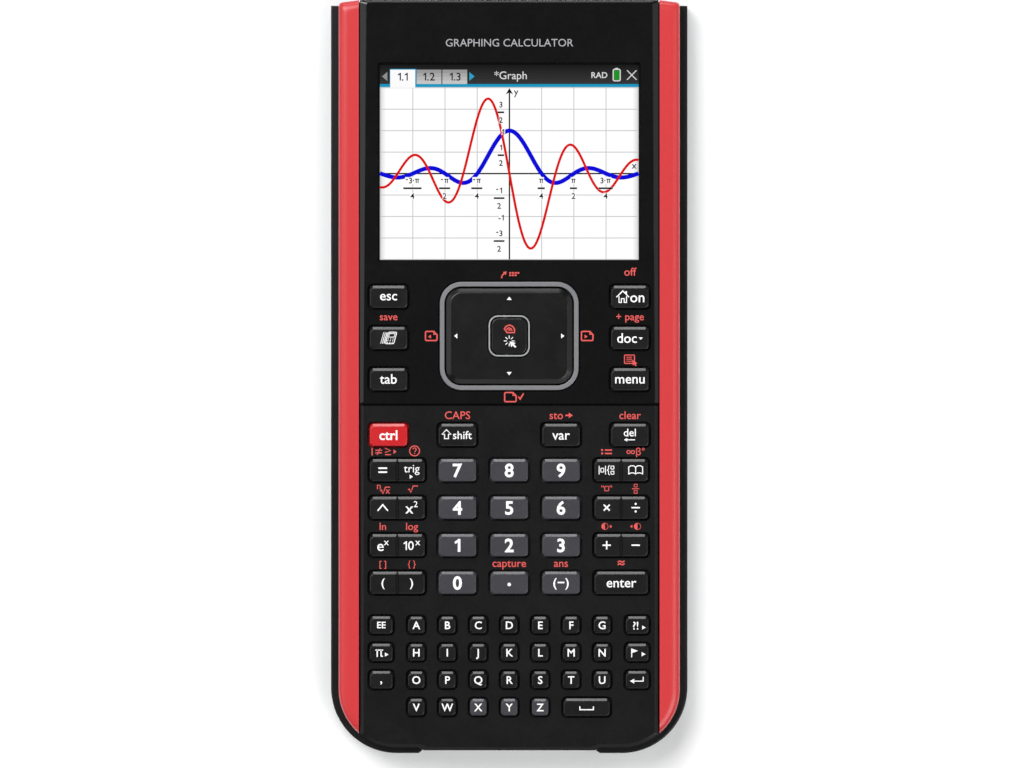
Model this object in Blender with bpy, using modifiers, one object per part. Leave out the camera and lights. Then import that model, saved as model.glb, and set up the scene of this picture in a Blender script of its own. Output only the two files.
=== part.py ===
"""A hand-held graphing calculator with its slide-on cover stored on its back.

Frame: X across, Y from the bottom edge of the calculator to its top edge, Z up out of the
face. The calculator lies on its back, so Z 0 is the outside of the cover, and X 0, Y 0 is the
middle of the outline. Every size below is in millimetres; the helpers turn them into metres.
"""

import math
from collections import namedtuple

import bmesh
import bpy
from mathutils import Matrix, Vector

MM = 0.001
GAP = 0.3  # between pieces that touch on the real object

# ---- Driving sizes ---------------------------------------------------------------------------
LENGTH = 190.0  # top edge of the calculator to bottom edge of the cover
BODY_WIDTH = 86.0
COVER_WIDTH = 90.0
TOP_Y = LENGTH / 2
COVER_BOTTOM_Y = -LENGTH / 2
BODY_BOTTOM_Y = -93.35
BODY_CORNER = 14.6
COVER_CORNER = 16.6

# The bottom edge stands out in the middle, where the dock plugs in through a gap in the cover.
DOCK_HALF = 21.6
DOCK_STEP = 0.75
DOCK_SLOPE = 1.3

# The face lies between two coloured rails.
FACE_HALF = 37.6
RAIL_INSIDE = FACE_HALF + GAP
SEAM_Y = -7.0  # glossy plate above, keypad field below

# ---- Levels, from the table up ---------------------------------------------------------------
COVER_PLATE = 1.8
COVER_RIM = 9.6
COVER_WALL_CLEARANCE = 0.2
COVER_LIP = 1.0  # how far the rim hooks into the body's side groove
BACK_FLOOR = 2.1
BACK_INSIDE = 4.0
BACK_TOP = 8.0
GROOVE_TOP = 9.9
GROOVE_DEPTH = 1.2
LEDGE = 14.0  # the front case's shelf under each rail
FIELD_INSIDE = 15.3
FIELD_TOP = 16.8
DECK_INSIDE = 14.6
DECK_TOP = 15.8
PLATE_TOP = 17.2
RAIL_TOP = 16.9
CASE_WALL = 1.5
FACE_WALL = 1.3
SHELF = 1.1

# ---- Display and touchpad --------------------------------------------------------------------
SCREEN = (65.2, 49.0)
SCREEN_Y = 54.1
PAD_Y = 10.3
RING_OUTSIDE = (35.0, 27.3)
RING_WIDTH = 1.2
RING_CORNER = 5.5
RING_TOP = 17.5
PAD_TOP = 17.6
PAD_BOTTOM = 15.5
CARRIER = (13.8, 14.6)
CLICK_RING = 10.4
CLICK_RING_WIDTH = 0.4
CLICK_CORNER = 2.4

# ---- Keys ------------------------------------------------------------------------------------
KEY_CORNER = 1.0
KEY_GAP = 0.35  # round each cap, in its hole
KEY_FLANGE = 0.6  # how far each cap's hidden foot stands out all round
KEY_RISE = 1.0  # how far each cap stands above the surface round it
LETTER_RISE = 0.8
CAP_DRAFT = 0.08
CAP_BEVEL = 0.45
CAP_BEVEL_HEIGHT = 0.3
FUNCTION_KEY = (9.9, 5.9)
LEFT_DOUBLE = (14.3, 5.9)
RIGHT_DOUBLE = (13.9, 5.9)
LETTER_KEY = (4.65, 4.6)
SYMBOL_KEY = (6.1, 4.6)
SPACE_KEY = (12.0, 4.6)

SIDE_X = 30.4  # esc and on columns
NAVIGATION_Y = 20.3
NAVIGATION_PITCH = 10.4
CONTROL_Y = -14.5
DIGIT_PITCH_X = 13.05
DIGIT_PITCH_Y = 9.45
DIGIT_Y = -23.4
DOUBLE_X = 28.2
LETTER_PITCH_X = 7.8
LETTER_PITCH_Y = 6.9
LETTER_Y = -62.5
SYMBOL_X = 32.25
SPACE_X = 19.5

FLANGE = (14.1, 14.9)
DOUBLE_FLANGE = (13.8, 14.5)
UPPER_KEY_LIFT = PLATE_TOP - FIELD_TOP

# ---- Inside ----------------------------------------------------------------------------------
BOARD = (10.2, 11.2)
BOARD_SIZE = (71.0, 172.0)
MEMBRANE = (11.5, 12.1)
MEMBRANE_WIDTH = 70.0
POST_TOP = 12.7  # of the post under each key
POST_RADIUS = 1.5
LCD = (11.6, 13.9)
LCD_SIZE = (70.0, 56.0)
LENS = (14.9, DECK_TOP)
LENS_SIZE = (70.4, 54.4)
BATTERY = (4.2, 9.4)
BATTERY_OPENING = (62.0, 44.0)
BATTERY_Y = 22.0
LID_THICKNESS = 1.2
LID_TAB = (5.0, 5.2)  # half its width, and how far it stands out below the battery bay
LID_SCREW_INSET = 2.2
SCREW_AT = [(x, y) for y in (84.0, -66.0) for x in (-38.0, 38.0)]
SCREW_RADIUS = 0.8
SCREW_HEAD = 1.8
SCREW_TIP = 12.2
USB_SIZE = (7.8, 3.9)
USB_LEVEL = 6.0
USB_DEPTH = 9.0
RESET_AT = (-20.0, -30.0)
RESET_RADIUS = 1.3
LED_X = 14.0
LED_HALF = 1.5
LED = (10.9, 12.5)
DOCK = (5.2, 9.2)
DOCK_CONNECTOR_HALF = 13.0

# ---- Axes of what tips -----------------------------------------------------------------------
DOUBLE_AXIS = 14.2
PAD_PIVOT = (0, PAD_Y, 15.0)

Key = namedtuple("Key", "name x y width height")


# ---- Where the keys are ----------------------------------------------------------------------
def navigation_keys():
    """The six keys beside the touchpad, which come up through the glossy plate."""
    rows = (("esc", "on"), ("scratchpad", "doc"), ("tab", "menu"))
    return [
        Key(f"key_{name}", side * SIDE_X, NAVIGATION_Y - row * NAVIGATION_PITCH, *FUNCTION_KEY)
        for row, names in enumerate(rows)
        for side, name in zip((-1, 1), names)
    ]


def field_keys():
    """The keys of the lower field that are pressed straight down."""
    columns = (-SIDE_X, -DIGIT_PITCH_X, DIGIT_PITCH_X, SIDE_X)
    controls = zip(("ctrl", "shift", "var", "del"), columns)
    keys = [Key(f"key_{name}", x, CONTROL_Y, *FUNCTION_KEY) for name, x in controls]
    rows = (("7", "8", "9"), ("4", "5", "6"), ("1", "2", "3"), ("0", "point", "sign"))
    for row, names in enumerate(rows):
        y = DIGIT_Y - row * DIGIT_PITCH_Y
        for column, name in enumerate(names, -1):
            keys.append(Key(f"key_{name}", column * DIGIT_PITCH_X, y, *FUNCTION_KEY))
    keys.append(Key("key_enter", DOUBLE_X, DIGIT_Y - 3 * DIGIT_PITCH_Y, *RIGHT_DOUBLE))
    return keys


def double_keys():
    """The wide keys that rock left and right, each with two functions."""
    left = ("equals_trig", "power_square", "exp_tenpower", "brackets")
    right = ("template_catalog", "times_divide", "plus_minus")
    return [
        Key(f"double_key_{name}", side * DOUBLE_X, DIGIT_Y - row * DIGIT_PITCH_Y, *size)
        for side, names, size in ((-1, left, LEFT_DOUBLE), (1, right, RIGHT_DOUBLE))
        for row, name in enumerate(names)
    ]


def letter_rows():
    """The letter keys, row by row. A row of nine has a wider symbol key at each end."""
    rows = []
    for row in range(3):
        y = LETTER_Y - row * LETTER_PITCH_Y
        keys = [Key("", side * SYMBOL_X, y, *SYMBOL_KEY) for side in (-1, 1)]
        keys += [Key("", i * LETTER_PITCH_X, y, *LETTER_KEY) for i in range(-3, 4)]
        rows.append(sorted(keys, key=lambda key: key.x))
    y = LETTER_Y - 3 * LETTER_PITCH_Y
    last = [Key("", i * LETTER_PITCH_X, y, *LETTER_KEY) for i in range(-3, 2)]
    rows.append([*last, Key("", SPACE_X, y, *SPACE_KEY)])
    return rows


# ---- Flat outlines ---------------------------------------------------------------------------
def arc(centre_x, centre_y, radius, start, end, steps):
    """Points along an arc, with both ends. Angles in degrees, anticlockwise from +X."""
    angles = [math.radians(start + (end - start) * i / steps) for i in range(steps + 1)]
    return [(centre_x + radius * math.cos(a), centre_y + radius * math.sin(a)) for a in angles]


def rounded(x, y, width, height, corner, steps=1):
    """A rectangle with rounded corners, anticlockwise."""
    across, up = width / 2 - corner, height / 2 - corner
    return [
        point
        for quarter, (sx, sy) in enumerate(((1, 1), (-1, 1), (-1, -1), (1, -1)))
        for point in arc(x + sx * across, y + sy * up, corner, 90 * quarter, 90 * quarter + 90, steps)
    ]


def both_sides(right_half):
    """The outline whose right half, bottom middle to top middle, is given."""
    return right_half + [(-x, y) for x, y in reversed(right_half)]


def body_outline(inset=0.0, half=BODY_WIDTH / 2):
    """The calculator seen from above, drawn in by inset. A smaller half cuts it off along both sides."""
    side = half - inset
    bottom = BODY_BOTTOM_Y + inset
    radius = BODY_CORNER - inset
    centre_x = BODY_WIDTH / 2 - BODY_CORNER
    centre_y = BODY_BOTTOM_Y + BODY_CORNER
    last = 0.0 if side > centre_x + radius - 1e-6 else -math.degrees(math.acos((side - centre_x) / radius))
    points = [(DOCK_HALF - inset, bottom - DOCK_STEP), (DOCK_HALF + DOCK_SLOPE - inset, bottom)]
    points += arc(centre_x, centre_y, radius, -90, last, 8)
    top = TOP_Y - inset
    if half == BODY_WIDTH / 2:  # the top corner slopes and is rounded off
        points += [(side, top - 1.6), (side - 0.7, top - 0.6), (FACE_HALF, top)]
    else:
        points += [(side, top)]
    return both_sides(points)


def cover_outline(inset=0.0):
    """The cover's outer outline, with the dock gap in its bottom edge and a square top."""
    side = COVER_WIDTH / 2 - COVER_CORNER
    points = [
        (DOCK_HALF + inset / 2, BODY_BOTTOM_Y - DOCK_STEP + inset),
        (DOCK_HALF + DOCK_SLOPE + inset / 2, COVER_BOTTOM_Y + inset),
    ]
    points += arc(side, COVER_BOTTOM_Y + COVER_CORNER, COVER_CORNER - inset, -90, 0, 8)
    return both_sides([*points, (COVER_WIDTH / 2 - inset, TOP_Y - 1.3 - inset / 2)])


def open_at_top(outline):
    """The same outline with its top end run on past the object, for a pocket that is open there."""
    return [(x, y + 20.0 if y > 0 else y) for x, y in outline]


# ---- Solids ----------------------------------------------------------------------------------
def put(name, mesh):
    """A new object in the calculator's collection."""
    obj = bpy.data.objects.new(name, mesh)
    bpy.data.collections["graphing_calculator"].objects.link(obj)
    return obj


def weld(mesh):
    shape = bmesh.new()
    shape.from_mesh(mesh)
    bmesh.ops.remove_doubles(shape, verts=shape.verts, dist=1e-6)
    bmesh.ops.recalc_face_normals(shape, faces=shape.faces)
    shape.to_mesh(mesh)
    shape.free()


def evaluated_mesh(obj):
    bpy.context.view_layer.update()
    return bpy.data.meshes.new_from_object(obj.evaluated_get(bpy.context.evaluated_depsgraph_get()))


def loft(name, *sections):
    """A solid through a stack of outlines, each with its level. All have the same number of points."""
    count = len(sections[0][1])
    points = [(x * MM, y * MM, level * MM) for level, outline in sections for x, y in outline]
    faces = [tuple(reversed(range(count))), tuple(range(len(points) - count, len(points)))]
    for below in range(0, len(points) - count, count):
        for i in range(count):
            beside = (i + 1) % count
            faces.append((below + i, below + beside, below + count + beside, below + count + i))
    mesh = bpy.data.meshes.new(name)
    mesh.from_pydata(points, [], faces)
    return put(name, mesh)


def prism(name, loops, low, high):
    """A flat outline with straight sides from low to high. A loop inside another is a hole."""
    if len(loops) == 1:
        return loft(name, (low, loops[0]), (high, loops[0]))
    curve = bpy.data.curves.new(name, "CURVE")
    curve.dimensions = "2D"
    curve.fill_mode = "BOTH"
    curve.extrude = (high - low) / 2 * MM
    for loop in loops:
        spline = curve.splines.new("POLY")
        spline.points.add(len(loop) - 1)
        for point, (x, y) in zip(spline.points, loop):
            point.co = (x * MM, y * MM, 0, 1)
        spline.use_cyclic_u = True
    guide = put(f"{name}_outline", curve)
    mesh = evaluated_mesh(guide)
    bpy.data.objects.remove(guide)
    mesh.name = name
    mesh.transform(Matrix.Translation((0, 0, (low + high) / 2 * MM)))
    weld(mesh)
    return put(name, mesh)


def box(name, x, y, z):
    """A box from three (low, high) pairs."""
    return prism(name, [[(x[0], y[0]), (x[1], y[0]), (x[1], y[1]), (x[0], y[1])]], *z)


def turned(name, profile, at, sides=12):
    """A solid of revolution about a vertical axis. The profile is (radius, height) pairs, top to bottom."""
    mesh = bpy.data.meshes.new(name)
    points = [(radius * MM, 0, level * MM) for radius, level in profile]
    mesh.from_pydata(points, [(i, i + 1) for i in range(len(points) - 1)], [])
    obj = put(name, mesh)
    screw = obj.modifiers.new("turn", "SCREW")
    screw.steps = screw.render_steps = sides
    screw.use_merge_vertices = True
    screw.merge_threshold = 0.00001
    obj.data = evaluated_mesh(obj)
    obj.modifiers.clear()
    weld(obj.data)
    obj.location = (at[0] * MM, at[1] * MM, 0)
    return obj


def peg(name, at, radius, low, high):
    """An upright round bar."""
    return turned(name, [(0, high), (radius, high), (radius, low), (0, low)], at)


def turn_about(obj, point):
    """Moves obj's origin to a point on its joint's axis, and leaves its shape where it is."""
    origin = Vector(point) * MM
    obj.data.transform(Matrix.Translation(obj.location - origin))
    obj.location = origin
    return obj


def combine(obj, operation, *tools):
    """Joins the tools to obj, or cuts them from it, and removes them."""
    for tool in tools:
        modifier = obj.modifiers.new(tool.name, "BOOLEAN")
        modifier.operation = operation
        modifier.solver = "EXACT"
        modifier.object = tool
        obj.data = evaluated_mesh(obj)
        obj.modifiers.clear()
        bpy.data.objects.remove(tool)
    return obj


def soften(obj, level, width, segments=2):
    """Bevels the sharp rim that obj has at one level."""
    shape = bmesh.new()
    shape.from_mesh(obj.data)
    rim = [
        edge
        for edge in shape.edges
        if all(abs(v.co.z - level * MM) < 1e-6 for v in edge.verts)
        and len(edge.link_faces) == 2
        and edge.calc_face_angle() > math.radians(40)
    ]
    bmesh.ops.bevel(
        shape, geom=rim, offset=width * MM, segments=segments, profile=0.5, affect="EDGES", clamp_overlap=True
    )
    shape.to_mesh(obj.data)
    shape.free()
    return obj


def cap(name, key, flange, low, top):
    """A key cap with a bevelled top. The flange is how far its foot stands out, and how high it is."""
    foot, foot_height = flange
    shape = bmesh.new()
    first = foot_height if foot else top - CAP_BEVEL_HEIGHT - low
    bmesh.ops.create_cube(shape, size=1)
    size = Vector((key.width + 2 * foot, key.height + 2 * foot, first)) * MM
    bmesh.ops.scale(shape, vec=size, verts=shape.verts)
    bmesh.ops.translate(shape, vec=Vector((0, 0, low + first / 2)) * MM, verts=shape.verts)
    upright = [e for e in shape.edges if abs(e.verts[0].co.z - e.verts[1].co.z) > 1e-6]
    bmesh.ops.bevel(shape, geom=upright, offset=(KEY_CORNER + foot) * MM, segments=1, affect="EDGES")
    crown = max(shape.faces, key=lambda face: face.calc_center_median().z)
    rise = top - CAP_BEVEL_HEIGHT - low - first
    steps_up = [(foot, 0), (CAP_DRAFT, rise)] if foot else []
    for inwards, upwards in (*steps_up, (CAP_BEVEL, CAP_BEVEL_HEIGHT)):
        bmesh.ops.inset_region(
            shape, faces=[crown], thickness=inwards * MM, depth=upwards * MM, use_even_offset=True
        )
    mesh = bpy.data.meshes.new(name)
    shape.to_mesh(mesh)
    shape.free()
    obj = put(name, mesh)
    obj.location = (key.x * MM, key.y * MM, 0)
    return obj


# ---- Finishes --------------------------------------------------------------------------------
FINISHES = {  # name: (red, green, blue), roughness, metallic
    "black_gloss": ((0.012, 0.012, 0.013), 0.25, 0.0),
    "black_satin": ((0.018, 0.018, 0.019), 0.45, 0.0),
    "black_cover": ((0.014, 0.014, 0.015), 0.55, 0.0),
    "red_satin": ((0.70, 0.045, 0.05), 0.4, 0.0),
    "red_key": ((0.75, 0.02, 0.03), 0.35, 0.0),
    "grey_key": ((0.075, 0.075, 0.085), 0.4, 0.0),
    "black_key": ((0.016, 0.016, 0.017), 0.4, 0.0),
    "ring_grey": ((0.25, 0.25, 0.26), 0.35, 0.6),
    "clear_plastic": ((0.9, 0.9, 0.9), 0.05, 0.0),
    "display": ((0.75, 0.77, 0.8), 0.3, 0.0),
    "circuit_board": ((0.02, 0.12, 0.05), 0.5, 0.0),
    "silicone": ((0.35, 0.35, 0.36), 0.7, 0.0),
    "battery_wrap": ((0.12, 0.14, 0.2), 0.5, 0.0),
    "steel": ((0.55, 0.55, 0.56), 0.3, 1.0),
    "led_green": ((0.1, 0.55, 0.15), 0.2, 0.0),
}


def finish(obj, name):
    """Gives obj one of the finishes above, made once and shared."""
    made = bpy.data.materials.get(name)
    if made is None:
        colour, roughness, metallic = FINISHES[name]
        made = bpy.data.materials.new(name)
        made.use_nodes = True
        shader = made.node_tree.nodes["Principled BSDF"]
        shader.inputs["Base Color"].default_value = (*colour, 1)
        shader.inputs["Roughness"].default_value = roughness
        shader.inputs["Metallic"].default_value = metallic
    obj.data.materials.clear()
    obj.data.materials.append(made)
    return obj


# ---- The case --------------------------------------------------------------------------------
def key_hole(key):
    return rounded(key.x, key.y, key.width + 2 * KEY_GAP, key.height + 2 * KEY_GAP, KEY_CORNER + KEY_GAP)


def front_case():
    """The front shell: skirt behind the groove, shelf under the rails, keypad field, and sunk deck."""
    case = loft(
        "front_case",
        (GROOVE_TOP, body_outline(0, FACE_HALF)),
        (FIELD_TOP - 0.5, body_outline(0, FACE_HALF)),
        (FIELD_TOP, body_outline(0.4, FACE_HALF)),
    )
    skirt = prism("skirt", [body_outline(GROOVE_DEPTH)], BACK_TOP + GAP, LEDGE)
    combine(case, "UNION", skirt)

    inside = GROOVE_DEPTH + CASE_WALL
    side = FACE_HALF - FACE_WALL
    skirt_hollow = prism("skirt_hollow", [body_outline(inside)], 0, LEDGE - SHELF)
    low, high = BODY_BOTTOM_Y + inside, SEAM_Y - 1.0
    corners = [(x, max(low, min(y, high))) for x, y in body_outline(FACE_WALL, FACE_HALF)]
    field_hollow = prism("field_hollow", [corners], BACK_INSIDE, FIELD_INSIDE)
    deck = (SEAM_Y - 3, TOP_Y - inside)
    deck_hollow = box("deck_hollow", (-side, side), deck, (BACK_INSIDE, DECK_INSIDE))
    combine(case, "DIFFERENCE", skirt_hollow, field_hollow, deck_hollow)

    above = (DECK_TOP, RAIL_TOP * 2)
    sunk = box("sunk_deck", (-BODY_WIDTH, BODY_WIDTH), (SEAM_Y - GAP / 2, LENGTH), above)
    combine(case, "DIFFERENCE", sunk, front_case_windows())
    for at in SCREW_AT:
        combine(case, "UNION", peg("post", at, 2.0, BACK_TOP + GAP, LEDGE - 0.5))
        combine(case, "DIFFERENCE", peg("bore", at, SCREW_RADIUS + GAP, BACK_INSIDE, SCREW_TIP + GAP))
    combine(case, "DIFFERENCE", usb_cutter(), led_cutter(), dock_cutter())
    return finish(case, "black_satin")


def front_case_windows():
    """What is cut through the top wall: window, touchpad, navigation keys, and a hole for each other key."""
    width, height = RING_OUTSIDE
    loops = [
        rounded(0, SCREEN_Y, LENS_SIZE[0] + 2 * GAP, LENS_SIZE[1] + 2 * GAP, 1.0),
        rounded(0, PAD_Y, width - 1.4, height - 1.4, RING_CORNER - 0.7, 3),
    ]
    column_height = 2 * NAVIGATION_PITCH + 8.0
    column_y = NAVIGATION_Y - NAVIGATION_PITCH
    loops += [rounded(side * SIDE_X, column_y, 12.2, column_height, 1.0) for side in (-1, 1)]
    loops += [key_hole(key) for key in [*field_keys(), *double_keys()]]
    loops += [key_hole(key) for row in letter_rows() for key in row]
    return joined("windows", [prism("window", [loop], MEMBRANE[1], RAIL_TOP * 2) for loop in loops])


def joined(name, objects):
    """Separate solids that don't touch, gathered into one tool."""
    shape = bmesh.new()
    for obj in objects:
        shape.from_mesh(obj.data)
        bpy.data.objects.remove(obj)
    mesh = bpy.data.meshes.new(name)
    shape.to_mesh(mesh)
    shape.free()
    return put(name, mesh)


def usb_cutter():
    width, height = (size + 2 * GAP for size in USB_SIZE)
    low = USB_LEVEL - GAP
    return box("usb_cutter", (-width / 2, width / 2), (TOP_Y - 6, TOP_Y + 5), (low, low + height))


def led_cutter():
    half = LED_HALF + GAP
    levels = (LED[0] - GAP, LED[1] + GAP)
    return box("led_cutter", (LED_X - half, LED_X + half), (TOP_Y - 6, TOP_Y + 5), levels)


def dock_cutter():
    half = DOCK_CONNECTOR_HALF + GAP
    front = BODY_BOTTOM_Y - 5
    return box("dock_cutter", (-half, half), (front, BODY_BOTTOM_Y + 4), (DOCK[0] - GAP, DOCK[1] + GAP))


def back_case():
    """The back shell with the battery bay, the screw bosses and the reset hole."""
    case = loft(
        "back_case",
        (BACK_FLOOR, body_outline(GAP + 1.2)),
        (BACK_FLOOR + 0.4, body_outline(GAP + 0.4)),
        (BACK_FLOOR + 1.2, body_outline(GAP)),
        (BACK_TOP, body_outline(GAP)),
    )
    pocket = prism("pocket", [body_outline(GAP + CASE_WALL + 0.1)], BACK_INSIDE, BACK_TOP + 4)
    combine(case, "DIFFERENCE", pocket)
    width, height = BATTERY_OPENING
    bay = [rounded(0, BATTERY_Y, width + grow, height + grow, 2.0) for grow in (3.0, -0.8)]
    rim, root = BACK_TOP - 0.4, BACK_INSIDE - 0.5
    combine(case, "UNION", prism("bay", bay, root, rim), peg("lid_boss", lid_screw_at(), 2.8, root, rim))
    lid_ledge = prism("lid_ledge", [lid_outline(0)], 0, BACK_FLOOR + LID_THICKNESS + GAP)
    opening = prism("opening", [rounded(0, BATTERY_Y, width - 2, height - 2, 1.5)], 0, 6)
    thread = peg("lid_thread", lid_screw_at(), SCREW_RADIUS + GAP, 0, BACK_TOP - 1)
    combine(case, "DIFFERENCE", lid_ledge, opening, thread)
    for at in SCREW_AT:
        combine(case, "UNION", peg("boss", at, 2.6, BACK_INSIDE - 0.6, BACK_TOP))
        head_room = peg("head_room", at, SCREW_HEAD + GAP, 0, 4.4)
        combine(case, "DIFFERENCE", head_room, peg("hole", at, 1.2, 2, BACK_TOP + 2))
    reset_hole = peg("reset_hole", RESET_AT, RESET_RADIUS + GAP, 0, 6)
    combine(case, "DIFFERENCE", reset_hole, usb_cutter(), dock_cutter())
    return finish(case, "black_satin")


def lid_screw_at():
    return (0, BATTERY_Y - BATTERY_OPENING[1] / 2 - LID_SCREW_INSET)


def lid_outline(inset):
    """The battery bay's outline with the lid's screw tab."""
    side, top = BATTERY_OPENING[0] / 2 - inset, BATTERY_Y + BATTERY_OPENING[1] / 2 - inset
    bottom = BATTERY_Y - BATTERY_OPENING[1] / 2
    tab, reach = LID_TAB[0] - inset, bottom - LID_TAB[1] + inset
    points = [(tab - 1, reach), (tab, reach + 1), (tab, bottom + inset), (side - 1.5, bottom + inset)]
    points += [(side, bottom + 1.5 + inset), (side, top - 1.5), (side - 1.5, top)]
    return both_sides(points)


def battery_cover():
    """The lid over the battery bay, with a tab that its screw goes through."""
    lid = loft(
        "battery_cover",
        (BACK_FLOOR, lid_outline(2 * GAP)),
        (BACK_FLOOR + GAP, lid_outline(GAP)),
        (BACK_FLOOR + LID_THICKNESS, lid_outline(GAP)),
    )
    combine(lid, "DIFFERENCE", peg("head_room", lid_screw_at(), SCREW_HEAD + GAP, 0, BACK_FLOOR + 0.8))
    combine(lid, "DIFFERENCE", peg("hole", lid_screw_at(), SCREW_RADIUS + GAP, 0, BACK_INSIDE))
    return finish(lid, "black_satin")


def upper_faceplate():
    """The glossy plate round the display, the touchpad and the navigation keys."""
    bottom, top = SEAM_Y + 0.15, TOP_Y - 0.3
    middle = (bottom + top) / 2
    loops = [
        rounded(0, middle, 2 * FACE_HALF, top - bottom, 0.6),
        rounded(0, SCREEN_Y, SCREEN[0] + 1.0, SCREEN[1] + 1.2, 0.4),
        rounded(0, PAD_Y, RING_OUTSIDE[0] + 0.6, RING_OUTSIDE[1] + 0.6, RING_CORNER + 0.3, 6),
    ]
    loops += [key_hole(key) for key in navigation_keys()]
    plate = prism("upper_faceplate", loops, DECK_TOP + GAP, PLATE_TOP)
    return finish(plate, "black_gloss")


def side_rail(name, side):
    """A coloured rail: its top shows beside the face, and its outer leg ends above the cover's groove."""
    rounding = ((1.5, 0), (0.6, 0.4), (0.15, 1.2), (0, 2.4))
    sections = [(RAIL_TOP - drop, body_outline(inset)) for drop, inset in rounding]
    rail = loft(name, (GROOVE_TOP, body_outline()), *sections)
    edge = side * RAIL_INSIDE
    middle = box("middle", sorted((edge, -side * BODY_WIDTH)), (-LENGTH, LENGTH), (0, RAIL_TOP * 2))
    under = prism("under", [body_outline(GROOVE_DEPTH - GAP)], 0, LEDGE + GAP)
    combine(rail, "DIFFERENCE", middle, under)
    return finish(rail, "red_satin")


def slide_cover():
    """The tray-shaped cover, hooked into the grooves along the calculator's sides."""
    rounding = ((0, 1.2), (0.4, 0.4), (1.2, 0), (COVER_RIM - 0.5, 0), (COVER_RIM, 0.4))
    cover = loft("slide_cover", *[(level, cover_outline(inset)) for level, inset in rounding])
    walls = open_at_top(body_outline(-COVER_WALL_CLEARANCE))
    lips = open_at_top(body_outline(COVER_LIP - COVER_WALL_CLEARANCE))
    hollow = prism("hollow", [walls], COVER_PLATE, BACK_TOP + GAP)
    mouth = prism("mouth", [lips], COVER_PLATE + 1, COVER_RIM * 2)
    gap = DOCK_HALF + 0.4
    dock_gap = box("dock_gap", (-gap, gap), (-LENGTH, BODY_BOTTOM_Y + 3), (COVER_PLATE, COVER_RIM * 2))
    combine(cover, "DIFFERENCE", hollow, mouth, dock_gap)
    return finish(cover, "black_cover")


# ---- Display, touchpad and ports -------------------------------------------------------------
def display():
    """The clear window and the display module under it."""
    lens = prism("display_lens", [rounded(0, SCREEN_Y, *LENS_SIZE, 0.8)], *LENS)
    finish(lens, "clear_plastic")
    module = prism("lcd_module", [rounded(0, SCREEN_Y, *LCD_SIZE, 0.8)], *LCD)
    glass = prism("glass", [rounded(0, SCREEN_Y, 67.0, 50.8, 0.3)], LCD[1] - 1, LENS[0] - 0.4)
    combine(module, "UNION", glass)
    finish(module, "display")


def touchpad():
    """The trim ring, the pad, the carrier it tips on, and the click button with its own thin ring."""
    width, height = RING_OUTSIDE
    hole = (width - 2 * RING_WIDTH, height - 2 * RING_WIDTH)
    loops = [
        rounded(0, PAD_Y, width, height, RING_CORNER, 6),
        rounded(0, PAD_Y, *hole, RING_CORNER - RING_WIDTH, 6),
    ]
    ring = prism("touchpad_ring", loops, DECK_TOP + GAP, RING_TOP)
    finish(ring, "ring_grey")

    pad_outline = rounded(0, PAD_Y, hole[0] - 2 * GAP, hole[1] - 2 * GAP, RING_CORNER - RING_WIDTH - GAP, 6)
    pad = prism("touchpad_plate", [pad_outline], PAD_BOTTOM, PAD_TOP)
    soften(pad, PAD_TOP, 0.5)
    opening = CLICK_RING + 2 * 0.25
    click_hole = prism("click_hole", [rounded(0, PAD_Y, opening, opening, CLICK_CORNER + 0.25, 3)], 10, 20)
    combine(pad, "DIFFERENCE", click_hole)
    finish(turn_about(pad, PAD_PIVOT), "black_satin")

    inner = CLICK_RING - 2 * CLICK_RING_WIDTH
    loops = [
        rounded(0, PAD_Y, CLICK_RING, CLICK_RING, CLICK_CORNER, 3),
        rounded(0, PAD_Y, inner, inner, CLICK_CORNER - CLICK_RING_WIDTH, 3),
    ]
    finish(prism("click_ring", loops, 16.0, PAD_TOP + 0.15), "ring_grey")

    button = inner - 2 * GAP
    button_outline = rounded(0, PAD_Y, button, button, CLICK_CORNER - CLICK_RING_WIDTH - GAP, 3)
    click = prism("click_button", [button_outline], PAD_BOTTOM, PAD_TOP)
    finish(soften(click, PAD_TOP, 0.2, 1), "black_satin")

    carrier = prism("touchpad_carrier", [rounded(0, PAD_Y, 31.0, 23.0, 1.0)], *CARRIER)
    chip = box("chip", (-3, 3), (PAD_Y - 3, PAD_Y + 3), (CARRIER[0] - 0.6, CARRIER[0] + 0.2))
    combine(carrier, "UNION", chip)
    finish(turn_about(carrier, PAD_PIVOT), "circuit_board")


def ports():
    """The USB socket and the status light in the top edge, and the dock contacts in the bottom edge."""
    width, height = USB_SIZE
    x, z = width / 2, (USB_LEVEL, USB_LEVEL + height)
    mouth = TOP_Y - 0.4
    back = mouth - USB_DEPTH
    socket = box("usb_port", (-x, x), (back, mouth), z)
    wall = 0.4
    bore = box("usb_bore", (-x + wall, x - wall), (back + 1, mouth + 2), (z[0] + wall, z[1] - wall))
    tongue = box("usb_tongue", (-x + 2, x - 2), (back + wall, mouth - 2), (z[0] + 1.5, z[0] + 2.4))
    combine(socket, "DIFFERENCE", bore)
    combine(socket, "UNION", tongue)
    finish(socket, "steel")

    light = box("status_led", (LED_X - LED_HALF, LED_X + LED_HALF), (TOP_Y - 5.0, TOP_Y - 0.2), LED)
    finish(light, "led_green")

    front = BODY_BOTTOM_Y - DOCK_STEP
    half = DOCK_CONNECTOR_HALF
    dock = box("dock_connector", (-half, half), (front + 0.2, front + 4.4), DOCK)
    levels = (DOCK[0] + 0.8, DOCK[1] - 0.8)
    middles = [2.2 * i for i in range(-5, 6)]
    slots = [box("slot", (x - 0.4, x + 0.4), (front - 1, front + 0.8), levels) for x in middles]
    combine(dock, "DIFFERENCE", joined("slots", slots))
    finish(dock, "black_satin")


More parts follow.
